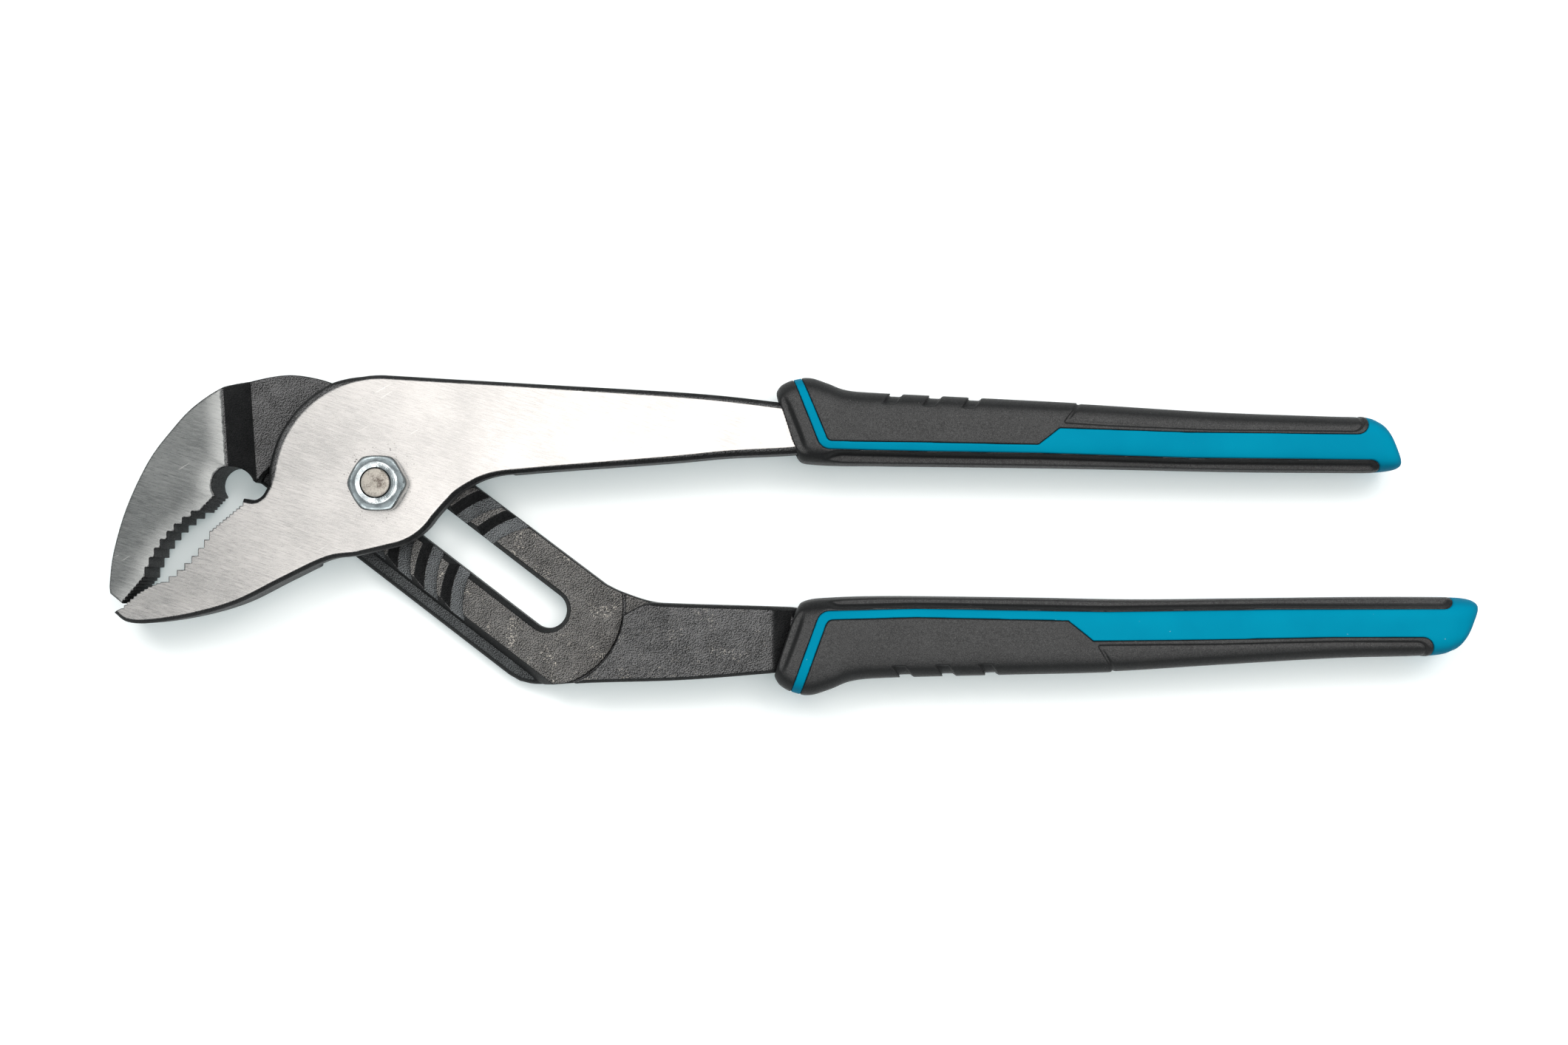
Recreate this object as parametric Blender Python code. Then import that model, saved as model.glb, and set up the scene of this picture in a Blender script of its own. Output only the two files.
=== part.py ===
# Groove-joint water pump pliers, modelled in metres with +Z up.
# The origin lies on the pivot axis, on the plane that the bolt head rests on.
# +X runs along the handles, +Y to the upper handle, +Z to the front with the nut.

import bpy
import bmesh
import numpy as np
from math import asin, cos, degrees, hypot, radians, sin

# Forgings
JAW_THICKNESS = 0.0120
PLATE_THICKNESS = 0.0060
SHANK_THICKNESS = 0.0100
RAISED_SHANK = 0.0046
EDGE_DRAFT = 0.0008
EDGE_HEIGHT = 0.0010
HUB_TOP_RADIUS = 0.0229
HUB_TOP_ARC = (88.0, 174.0)
HUB_LOW_RADIUS = 0.0132
HUB_LOW_ARC = (-78.0, -32.0)
STEP_RUN = 0.0050
STEP_SPACE = 0.0051
STEP_LEAN = 4.0
RAISED_ARC = (-74.0, -6.0)
OPEN_ANGLE = 42.0

# Slot, grooves and tongue
SLOT_ANGLE = -37.5
SLOT_WIDTH = 0.0080
SLOT_BEVEL = 0.0009
PITCH = 0.0073
POSITIONS = 7
GROOVE_ARC = (-50.0, 62.0)
GROOVE_FLOOR = 0.0029
GROOVE_SLOPE = 0.0022
GROOVE_DEPTH = 0.0022
PLATE_LEFT = 0.0169
PLATE_HEEL = 0.0030
PLATE_START = -0.0238
LAND_EDGE = 0.0121
LEDGE_SLOPE = 0.0014
LEDGE_DEPTH = 0.0024
LEDGE_START = -0.0226
TONGUE_INSET = 0.0053
TONGUE_SPAN = 32.0

# Teeth and throat
COARSE_PITCH = 0.0023
FINE_PITCH = 0.0009
THROAT_RADIUS = 0.0039
TIP_GAP = 0.0003

# Pivot bolt and nut
HEAD_DIAMETER = 0.0160
HEAD_HEIGHT = 0.0021
NECK_FLAT = 0.0020
BOLT_DIAMETER = 0.0080
BOLT_END_DIAMETER = 0.0066
BOLT_END_RISE = 0.0003
NUT_FLATS = 0.0120
NUT_HEIGHT = 0.0052
NUT_CHAMFER = 0.0012

# Grips, with each handle's length from its pivot position to its end
UPPER_HANDLE = 0.2228
LOWER_HANDLE = 0.2046
SKIN = 0.0020
GRIP_SQUARENESS = 3.0
TANG_THICKNESS = 0.0060
NOTCHES = 3
NOTCH_WIDTH = 0.0027
NOTCH_LENGTH = 0.0024
NOTCH_LEAN = 0.0019
NOTCH_DEPTH = 0.0008

# Clearances
RUNNING_GAP = 0.0003
JOINT_GAP = 0.0005
MOULD_GAP = 0.0002

# Mesh
BOLT_SIDES = 32
WELD = 2e-6
SMOOTH_ANGLE = 30.0

# Lower jaw of the front lever, from the tip along its back to the hub
LOWER_JAW_BACK = [
    (-0.0569, -0.0275), (-0.0545, -0.0292), (-0.0497, -0.0294), (-0.0403, -0.0279), (-0.0309, -0.0251),
    (-0.0213, -0.0203), (-0.0117, -0.0158), (-0.0053, -0.0148),
]
FRONT_SHANK_LOWER = [
    (0.0139, -0.0039), (0.0171, -0.0009), (0.0235, 0.0022), (0.0331, 0.0034), (0.0619, 0.0055),
    (0.0754, 0.0067), (0.0909, 0.0075), (0.0980, 0.0092),
]
FRONT_SHANK_UPPER = [
    (0.0980, 0.0154), (0.0871, 0.0169), (0.0683, 0.0189), (0.0362, 0.0208), (0.0138, 0.0221),
]
FRONT_THROAT = [(-0.0236, -0.0006), (-0.0251, -0.0031), (-0.0273, -0.0043), (-0.0300, -0.0039)]
FRONT_TANG = [(0.0900, 0.0092), (0.1990, 0.0066), (0.2020, 0.0086), (0.1990, 0.0108), (0.0900, 0.0154)]
SHANK_START = 0.0280

# Upper jaw of the rear lever, from the nose over its back to the slotted plate
UPPER_JAW_BACK = [
    (-0.0585, -0.0238), (-0.0586, -0.0214), (-0.0578, -0.0147), (-0.0550, -0.0049), (-0.0503, 0.0051),
    (-0.0452, 0.0120), (-0.0406, 0.0169), (-0.0343, 0.0211), (-0.0279, 0.0232), (-0.0212, 0.0242),
    (-0.0150, 0.0234), (-0.0093, 0.0216),
]
JAW_TIP = (-0.0556, -0.0262)
THROAT_CENTER = (-0.0326, -0.0001)

# Tooth lines: start, end and bow of each stretch, upper jaw from throat to tip, lower from tip to throat
UPPER_TEETH = [
    ((-0.0352, -0.0022), (-0.0388, -0.0060), 0.0, FINE_PITCH),
    ((-0.0388, -0.0060), (-0.0508, -0.0204), 0.0017, COARSE_PITCH),
    ((-0.0508, -0.0204), (-0.0562, -0.0267), 0.0, FINE_PITCH),
]
LOWER_TEETH = [
    ((-0.0562, -0.0267), (-0.0478, -0.0210), -0.0008, FINE_PITCH),
    ((-0.0478, -0.0210), (-0.0372, -0.0099), 0.0010, COARSE_PITCH),
    ((-0.0372, -0.0099), (-0.0300, -0.0039), 0.0, FINE_PITCH),
]
LOWER_MOUTH_AWAY = [(-0.0300, 0.0100), (-0.0700, 0.0100), (-0.0700, -0.0260)]
UPPER_MOUTH_AWAY = [(-0.0562, -0.0400), (-0.0300, -0.0400), (-0.0300, -0.0040), THROAT_CENTER]

# Rear shank and the pieces on it, measured from the last pivot position
REAR_SHANK_UPPER = [
    (0.0138, 0.0048), (0.0172, 0.0032), (0.0237, 0.0011), (0.0305, 0.0006), (0.0504, 0.0000),
    (0.0563, -0.0004), (0.0633, -0.0020),
]
REAR_SHANK_LOWER = [
    (0.0633, -0.0126), (0.0563, -0.0141), (0.0504, -0.0145), (0.0306, -0.0160), (0.0106, -0.0166),
    (-0.0010, -0.0173), (-0.0055, -0.0166),
]
REAR_TANG = [(0.0550, -0.0126), (0.1780, -0.0068), (0.1810, -0.0046), (0.1780, -0.0024), (0.0550, -0.0024)]
SHANK_SLOPE_START = 0.0500
SHANK_SLOPE_RUN = 0.0040
SHANK_SLOPE_DROP = 0.0030

# Grip sections from mouth to end: outer edge x, y, inner edge x, y and half thickness
UPPER_GRIP = {
    "length": UPPER_HANDLE,
    "straight": (0.1250, 0.1810),
    "sections": [
        (0.0858, 0.0202, 0.0906, 0.0055, 0.0074), (0.0872, 0.0219, 0.0918, 0.0047, 0.0081),
        (0.0901, 0.0231, 0.0940, 0.0044, 0.0083), (0.0934, 0.0234, 0.0974, 0.0042, 0.0083),
        (0.0972, 0.0222, 0.1015, 0.0041, 0.0082), (0.1010, 0.0208, 0.1060, 0.0041, 0.0080),
        (0.1070, 0.0202, 0.1130, 0.0040, 0.0079), (0.1250, 0.0193, 0.1310, 0.0038, 0.0079),
        (0.1520, 0.0179, 0.1570, 0.0034, 0.0078), (0.1810, 0.0161, 0.1850, 0.0028, 0.0076),
        (0.2050, 0.0152, 0.2090, 0.0026, 0.0074), (0.2140, 0.0149, 0.2165, 0.0026, 0.0072),
        (0.2174, 0.0138, 0.2202, 0.0029, 0.0066), (0.2194, 0.0121, 0.2221, 0.0036, 0.0054),
        (0.2204, 0.0104, 0.2228, 0.0048, 0.0036),
    ],
    "collar": [
        (0.0899, 0.0221), (0.0947, 0.0100), (0.0956, 0.0083), (0.0972, 0.0075), (0.1187, 0.0070),
        (0.1436, 0.0066), (0.1748, 0.0056), (0.2145, 0.0052), (0.2165, 0.0044), (0.2171, 0.0028),
    ],
    "pad": [
        (0.0917, 0.0224), (0.0967, 0.0103), (0.0982, 0.0092), (0.1187, 0.0089), (0.1426, 0.0084),
        (0.1472, 0.0120), (0.1748, 0.0111), (0.2122, 0.0107), (0.2140, 0.0117), (0.2144, 0.0139),
    ],
    "notch_x": 0.1090,
    "notch_pitch": 0.0086,
}
LOWER_GRIP = {
    "length": LOWER_HANDLE,
    "straight": (0.1000, 0.1730),
    "sections": [
        (0.0506, 0.0152, 0.0557, 0.0001, 0.0074), (0.0520, 0.0173, 0.0568, -0.0010, 0.0081),
        (0.0550, 0.0189, 0.0592, -0.0017, 0.0083), (0.0586, 0.0194, 0.0630, -0.0020, 0.0083),
        (0.0630, 0.0181, 0.0676, -0.0022, 0.0082), (0.0678, 0.0163, 0.0730, -0.0023, 0.0080),
        (0.0760, 0.0156, 0.0820, -0.0023, 0.0079), (0.1000, 0.0150, 0.1060, -0.0020, 0.0079),
        (0.1240, 0.0144, 0.1290, -0.0016, 0.0078), (0.1470, 0.0130, 0.1510, -0.0018, 0.0077),
        (0.1730, 0.0115, 0.1770, -0.0021, 0.0075), (0.1930, 0.0109, 0.1960, -0.0021, 0.0073),
        (0.1984, 0.0098, 0.2012, -0.0019, 0.0067), (0.2008, 0.0080, 0.2036, -0.0011, 0.0055),
        (0.2021, 0.0061, 0.2046, 0.0002, 0.0037),
    ],
    "collar": [
        (0.0544, 0.0182), (0.0600, 0.0029), (0.0608, 0.0015), (0.0624, 0.0009), (0.0814, 0.0004),
        (0.1228, 0.0011), (0.1580, 0.0006), (0.1950, 0.0005), (0.1972, -0.0003), (0.1980, -0.0019),
    ],
    "pad": [
        (0.0565, 0.0187), (0.0617, 0.0044), (0.0632, 0.0028), (0.0814, 0.0023), (0.1142, 0.0030),
        (0.1196, 0.0074), (0.1454, 0.0071), (0.1710, 0.0066), (0.1912, 0.0066), (0.1930, 0.0076),
        (0.1934, 0.0103),
    ],
    "notch_x": 0.0763,
    "notch_pitch": 0.0093,
}

# Levels and positions worked out from the sizes above
Z_BACK = HEAD_HEIGHT + RUNNING_GAP
Z_JOINT = Z_BACK + PLATE_THICKNESS
Z_HUB = Z_JOINT + RUNNING_GAP
Z_FRONT = Z_BACK + JAW_THICKNESS
Z_NUT = Z_FRONT + RUNNING_GAP
Z_RAISED = Z_JOINT + RAISED_SHANK
Z_GRIP = max(section[-1] for section in UPPER_GRIP["sections"] + LOWER_GRIP["sections"])
Z_ABOVE = Z_FRONT + JAW_THICKNESS
Z_BELOW = Z_BACK - JAW_THICKNESS
ALONG = np.array([cos(radians(SLOT_ANGLE)), sin(radians(SLOT_ANGLE))])
LEFTWARD = np.array([ALONG[1], -ALONG[0]])
NECK_WIDTH = SLOT_WIDTH - 2 * RUNNING_GAP
GROOVE_RADIUS = HUB_TOP_RADIUS - TONGUE_INSET
TRAVEL = PITCH * (POSITIONS - 1)
LAST = ALONG * TRAVEL
FAR = 0.4


def slot_point(distance, left):
    return ALONG * distance + LEFTWARD * left


def polar(center, radius, degrees):
    angle = np.radians(np.atleast_1d(degrees))
    return np.array(center) + radius * np.column_stack([np.cos(angle), np.sin(angle)])


def circle(center, radius, sides, first=0):
    return polar(center, radius, first + np.arange(sides) * 360 / sides)


def spline(knots, steps=3):
    # Smooth open curve through the knots, by the Catmull-Rom rule
    knots = np.array(knots)
    ends = np.vstack([2 * knots[0] - knots[1], knots, 2 * knots[-1] - knots[-2]])
    t = np.linspace(0, 1, steps, endpoint=False)[:, None]
    pieces = []
    for before, start, end, after in zip(ends, ends[1:], ends[2:], ends[3:]):
        slope_in = (end - before) / 2
        slope_out = (after - start) / 2
        pieces.append(
            (2 * t**3 - 3 * t**2 + 1) * start
            + (t**3 - 2 * t**2 + t) * slope_in
            + (3 * t**2 - 2 * t**3) * end
            + (t**3 - t**2) * slope_out
        )
    return np.vstack(pieces + [knots[-1:]])


def outline(*pieces):
    # One counter-clockwise closed outline, without repeated points
    points = np.vstack([np.atleast_2d(piece) for piece in pieces])
    step = np.linalg.norm(points - np.roll(points, 1, axis=0), axis=1)
    points = points[step > 5 * WELD]
    x, y = points.T
    area = np.sum(x * np.roll(y, -1) - np.roll(x, -1) * y)
    return points if area > 0 else points[::-1]


def grow(points, distance):
    # Moves every edge of a counter-clockwise outline outward
    ahead = np.roll(points, -1, axis=0) - points
    ahead /= np.linalg.norm(ahead, axis=1)[:, None]
    normal = np.column_stack([ahead[:, 1], -ahead[:, 0]])
    mean = normal + np.roll(normal, 1, axis=0)
    mean /= np.maximum(np.sum(mean * normal, axis=1), 0.5)[:, None]
    return points + distance * mean


def solid(name, rings):
    # Closed solid through rings of equally many points
    count = len(rings[0])
    mesh = bpy.data.meshes.new(name)
    build = bmesh.new()
    rows = [[build.verts.new(point) for point in ring] for ring in rings]
    for low, high in zip(rows, rows[1:]):
        for i in range(count):
            j = (i + 1) % count
            build.faces.new((low[i], low[j], high[j], high[i]))
    build.faces.new(rows[0][::-1])
    build.faces.new(rows[-1])
    bmesh.ops.recalc_face_normals(build, faces=build.faces[:])
    build.to_mesh(mesh)
    build.free()
    body = bpy.data.objects.new(name, mesh)
    bpy.context.collection.objects.link(body)
    return body


def loft(name, levels):
    return solid(name, [np.column_stack([points, np.full(len(points), z)]) for z, points in levels])


def prism(name, points, low, high):
    return loft(name, [(low, points), (high, points)])


def box(name, low, high):
    corners = [(low[0], low[1]), (high[0], low[1]), (high[0], high[1]), (low[0], high[1])]
    return prism(name, np.array(corners), low[2], high[2])


def combine(body, tool, operation, keep=False):
    # Applies a Boolean at once and drops the tool unless it is used again
    modifier = body.modifiers.new(operation, "BOOLEAN")
    modifier.operation = operation
    modifier.object = tool
    modifier.solver = "EXACT"
    evaluated = body.evaluated_get(bpy.context.evaluated_depsgraph_get())
    result = bpy.data.meshes.new_from_object(evaluated)
    body.modifiers.clear()
    body.data = result
    if not keep:
        bpy.data.objects.remove(tool)
    return body


def cut(body, tool, keep=False):
    return combine(body, tool, "DIFFERENCE", keep)


def join(body, tool):
    return combine(body, tool, "UNION")


def common(body, tool):
    return combine(body, tool, "INTERSECT")


def clean(body):
    build = bmesh.new()
    build.from_mesh(body.data)
    bmesh.ops.remove_doubles(build, verts=build.verts[:], dist=WELD)
    bmesh.ops.dissolve_degenerate(build, edges=build.edges[:], dist=WELD)
    bmesh.ops.triangulate(build, faces=build.faces[:])
    build.to_mesh(body.data)
    build.free()
    return body


def material(name, color, roughness, metallic):
    made = bpy.data.materials.new(name)
    made.use_nodes = True
    shader = made.node_tree.nodes["Principled BSDF"]
    shader.inputs["Base Color"].default_value = (*color, 1)
    shader.inputs["Roughness"].default_value = roughness
    shader.inputs["Metallic"].default_value = metallic
    return made


def finish(body, look, parent):
    clean(body)
    body.data.materials.clear()
    body.data.materials.append(look)
    body.data.shade_smooth()
    body.data.set_sharp_from_angle(angle=radians(SMOOTH_ANGLE))
    body.parent = parent
    return body


def drafted(points, low, high):
    # A forging: widest between its two faces, with narrow bevels up to each face
    wide = grow(points, EDGE_DRAFT)
    return [
        (low, points),
        (low + EDGE_HEIGHT, wide),
        (high - EDGE_HEIGHT, wide),
        (high, points),
    ]


def tooth_line(stretches):
    # Stairs with level and upright flanks along straight or bowed stretches
    points = []
    for start, end, bow, pitch in stretches:
        start = np.array(start)
        run = np.array(end) - start
        count = max(1, round(hypot(*run) / pitch))
        t = np.linspace(0, 1, count + 1)[:, None]
        side = np.array([run[1], -run[0]]) / hypot(*run)
        points.append(start + t * run + 4 * bow * t * (1 - t) * side)
    crests = np.vstack([stretch[:-1] for stretch in points] + [points[-1][-1:]])
    stairs = []
    for here, there in zip(crests, crests[1:]):
        stairs.append(here)
        stairs.append((there[0], here[1]))
    return np.array(stairs + [crests[-1]])


def stretch(rows, table, columns=(0,)):
    # Lengthens the straight middle of a grip until its end lies at the handle's length
    rows = np.array(rows)
    start, end = table["straight"]
    extra = table["length"] - np.max(np.array(table["sections"])[:, 2])
    columns = list(columns)
    moved = (0, start, end + extra, FAR + extra)
    rows[:, columns] = np.interp(rows[:, columns], (0, start, end, FAR), moved)
    return rows


def tang(points, gap):
    points = grow(outline(points), gap)
    half = TANG_THICKNESS / 2 + gap
    return prism("tang", points, Z_GRIP - half, Z_GRIP + half)


def front_outline():
    return outline(
        spline(LOWER_JAW_BACK),
        polar((0, 0), HUB_LOW_RADIUS, np.linspace(*HUB_LOW_ARC, 7)),
        spline(FRONT_SHANK_LOWER),
        spline(FRONT_SHANK_UPPER),
        polar((0, 0), HUB_TOP_RADIUS, np.linspace(*HUB_TOP_ARC, 15)),
        spline(FRONT_THROAT),
        JAW_TIP,
    )


def rear_outline():
    return outline(
        JAW_TIP,
        spline(UPPER_JAW_BACK),
        LAST + spline(REAR_SHANK_UPPER),
        LAST + spline(REAR_SHANK_LOWER),
        slot_point(TRAVEL + PLATE_HEEL, PLATE_LEFT),
        slot_point(PLATE_START, PLATE_LEFT),
    )


def tongue():
    # Ring segment about the pivot; its inner wall bears on the land, its outer side slopes
    inner = GROOVE_RADIUS + RUNNING_GAP
    tip = inner + GROOVE_FLOOR - 2 * RUNNING_GAP
    slope = GROOVE_SLOPE / GROOVE_DEPTH
    low = Z_JOINT - GROOVE_DEPTH + RUNNING_GAP
    high = Z_HUB + EDGE_HEIGHT
    # At full opening its near end has swung past the ends of the lands, so the bolt can slide
    leave = degrees(asin((LAND_EDGE + LEDGE_SLOPE + JOINT_GAP) / inner))
    start = SLOT_ANGLE + 180 + leave - OPEN_ANGLE
    turns = np.linspace(start, start + TONGUE_SPAN, 9)
    levels = []
    for z in (low, high):
        outer = tip + slope * (min(z, Z_HUB) - low)
        levels.append((z, np.vstack([polar((0, 0), outer, turns), polar((0, 0), inner, turns[::-1])])))
    return loft("tongue", levels)


def hub_relief():
    # Room behind the hub for the slotted plate, from closed to fully open
    reach = PLATE_LEFT + JOINT_GAP
    closed = LEFTWARD
    turn = -radians(OPEN_ANGLE)
    opened = np.array([
        closed[0] * cos(turn) - closed[1] * sin(turn),
        closed[0] * sin(turn) + closed[1] * cos(turn),
    ])
    corner = np.linalg.solve(np.array([closed, opened]), np.array([reach, reach]))
    points = outline(
        corner,
        corner + FAR / 4 * np.array([-opened[1], opened[0]]),
        (SHANK_START, -FAR / 4),
        (SHANK_START, FAR / 4),
        (-FAR / 4, FAR / 4),
        corner - FAR / 4 * ALONG,
    )
    return prism("hub_relief", points, Z_BELOW, Z_HUB)


def mouth(name, stretches, away):
    # Everything on the open side of a tooth line
    line = tooth_line(stretches)
    return prism(name, outline(line, away), Z_BELOW, Z_ABOVE)


def front_blank(gap):
    # Drafted forging with its thinner shank and its tang, grown all round by a gap
    points = grow(front_outline(), gap)
    lever = loft("front_lever", drafted(points, Z_BACK - gap, Z_FRONT + gap))
    underside = Z_FRONT - SHANK_THICKNESS - gap
    cut(lever, box("shank_relief", (SHANK_START, -FAR, Z_BELOW), (FAR, FAR, underside)))
    return join(lever, tang(stretch(FRONT_TANG, UPPER_GRIP), gap))


def make_front_lever():
    lever = front_blank(0)
    cut(lever, hub_relief())
    join(lever, tongue())
    bore = BOLT_DIAMETER / 2 + RUNNING_GAP
    cut(lever, prism("bore", circle((0, 0), bore, BOLT_SIDES), Z_BELOW, Z_ABOVE))
    apart = np.array([TIP_GAP, -TIP_GAP])
    stretches = [(start + apart, end + apart, bow, pitch) for start, end, bow, pitch in LOWER_TEETH]
    cut(lever, mouth("lower_mouth", stretches, LOWER_MOUTH_AWAY))
    return lever


def joint_clearance():
    # Room in front of the slotted plate: from the sloped step of the jaw to the arc before the raised shank
    reach = hub_reach() + EDGE_DRAFT + JOINT_GAP
    slope = (Z_ABOVE - Z_JOINT) / (Z_FRONT - Z_JOINT)
    turns = SLOT_ANGLE + np.linspace(-90, 60, 25)
    lean = radians(STEP_LEAN)
    upward = FAR / 8 * np.array([-sin(lean), cos(lean)])
    levels = []
    for z, run, radius in ((Z_JOINT, 0, reach), (Z_ABOVE, STEP_RUN * slope, reach + EDGE_DRAFT)):
        step = np.array([-HUB_TOP_RADIUS - STEP_SPACE - run, 0])
        levels.append((z, np.vstack([
            step + upward,
            step - upward,
            slot_point(TRAVEL, FAR / 8),
            polar(LAST, radius, turns),
            slot_point(TRAVEL, -FAR / 8),
        ])))
    return loft("joint_clearance", levels)


def hub_reach():
    # Farthest point of the hub that can swing past the arc before the raised shank
    points = front_outline()
    angle = np.degrees(np.arctan2(points[:, 1], points[:, 0]))
    swept = (angle > RAISED_ARC[0] - OPEN_ANGLE) & (angle < RAISED_ARC[1])
    return np.max(np.linalg.norm(points[swept], axis=1))


def groove(index):
    # Ring segment about one pivot position: upright working wall, floor, sloped far wall
    center = ALONG * PITCH * index
    floor = Z_JOINT - GROOVE_DEPTH
    over = Z_JOINT + EDGE_HEIGHT
    slope = GROOVE_SLOPE / GROOVE_DEPTH
    turns = SLOT_ANGLE + 180 + np.linspace(*GROOVE_ARC, 21)
    levels = []
    for z in (floor, over):
        outer = GROOVE_RADIUS + GROOVE_FLOOR + slope * (z - floor)
        far = polar(center, outer, turns)
        near = polar(center, GROOVE_RADIUS, turns[::-1])
        levels.append((z, np.vstack([far, near])))
    return loft(f"groove_{index}", levels)


def slot():
    # Long hole for the neck of the bolt, wider at the joint plane
    overrun = NECK_FLAT / 2 + RUNNING_GAP
    levels = []
    for z, extra in ((Z_BELOW, 0), (Z_JOINT - GROOVE_DEPTH, 0), (Z_JOINT + EDGE_HEIGHT, SLOT_BEVEL)):
        radius = SLOT_WIDTH / 2 + extra
        near = polar(ALONG * -overrun, radius, SLOT_ANGLE + np.linspace(90, 270, 11))
        far = polar(ALONG * (TRAVEL + overrun), radius, SLOT_ANGLE + np.linspace(-90, 90, 11))
        levels.append((z, np.vstack([near, far])))
    return loft("slot", levels)


def ledge():
    # Lowered strip along the left edge of the slotted plate, open to the grooves
    low = Z_JOINT - LEDGE_DEPTH
    slope = LEDGE_SLOPE / LEDGE_DEPTH
    ends = (LEDGE_START, FAR / 3)
    levels = []
    for z in (low, Z_FRONT):
        inner = LAND_EDGE + LEDGE_SLOPE - slope * (z - low)
        corners = [slot_point(t, d) for t, d in (
            (ends[0], inner), (ends[0], FAR / 8), (ends[1], FAR / 8), (ends[1], inner))]
        levels.append((z, np.array(corners)))
    return loft("ledge", levels)


def rear_blank(gap):
    # Drafted forging with its raised shank, the slope before the grip and its tang, grown by a gap
    points = grow(rear_outline(), gap - EDGE_DRAFT)
    lever = loft("rear_lever", drafted(points, Z_BACK - gap, Z_FRONT + gap))
    top = Z_RAISED + gap
    cut(lever, box("shank_top", (0, -FAR, top), (FAR, FAR, Z_ABOVE)))
    start = LAST[0] + SHANK_SLOPE_START + gap
    low = top - SHANK_SLOPE_DROP
    end = start + SHANK_SLOPE_RUN
    profile = [(start - EDGE_HEIGHT, Z_ABOVE), (start, top), (end, low), (FAR, low), (FAR, Z_ABOVE)]
    cut(lever, solid("shank_slope", [[(x, y, z) for x, z in profile] for y in (-FAR, FAR)]))
    return join(lever, tang(LAST + stretch(REAR_TANG, LOWER_GRIP), gap))


def make_rear_lever():
    lever = rear_blank(0)
    cut(lever, joint_clearance())
    shadow = LAST + grow(front_outline(), EDGE_DRAFT + JOINT_GAP)
    cut(lever, prism("closed_hub", shadow, Z_JOINT, Z_ABOVE))
    cut(lever, ledge())
    for index in range(POSITIONS):
        cut(lever, groove(index))
    cut(lever, slot())
    cut(lever, prism("throat", circle(THROAT_CENTER, THROAT_RADIUS, 30), Z_BELOW, Z_ABOVE))
    cut(lever, mouth("upper_mouth", UPPER_TEETH, UPPER_MOUTH_AWAY))
    return lever


def make_pivot_bolt():
    # Low round head, flat-sided neck in the slot, round shank in the hub, end inside the nut
    bevel = HEAD_HEIGHT / 3

    def ring(radius):
        return circle((0, 0), radius, BOLT_SIDES, SLOT_ANGLE + 180 / BOLT_SIDES)

    neck = ring(NECK_WIDTH / 2)
    ahead = np.sign(neck @ ALONG)[:, None]
    neck += ahead * ALONG * NECK_FLAT / 2
    top = Z_NUT + NUT_HEIGHT + BOLT_END_RISE
    return loft("pivot_bolt", [
        (0, ring(HEAD_DIAMETER / 2 - bevel)),
        (bevel, ring(HEAD_DIAMETER / 2)),
        (HEAD_HEIGHT, ring(HEAD_DIAMETER / 2)),
        (HEAD_HEIGHT, neck),
        (Z_JOINT - RUNNING_GAP, neck),
        (Z_HUB, ring(BOLT_DIAMETER / 2)),
        (Z_FRONT, ring(BOLT_DIAMETER / 2)),
        (Z_FRONT, ring(BOLT_END_DIAMETER / 2)),
        (top - bevel / 2, ring(BOLT_END_DIAMETER / 2)),
        (top, ring(BOLT_END_DIAMETER / 2 - bevel / 2)),
    ])


def make_pivot_nut():
    # Hexagon with its corners turned off by a wide chamfer
    corner = NUT_FLATS / 2 / cos(radians(30))
    top = Z_NUT + NUT_HEIGHT
    nut = prism("pivot_nut", circle((0, 0), corner, 6), Z_NUT, top)
    rings = ((Z_BACK, corner), (top - NUT_CHAMFER, corner), (top + NUT_CHAMFER, corner - 2 * NUT_CHAMFER))
    common(nut, loft("chamfer", [(z, circle((0, 0), radius, 36, 4)) for z, radius in rings]))
    bore = BOLT_END_DIAMETER / 2 + RUNNING_GAP
    return cut(nut, prism("nut_bore", circle((0, 0), bore, BOLT_SIDES), Z_BACK, Z_ABOVE))


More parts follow.
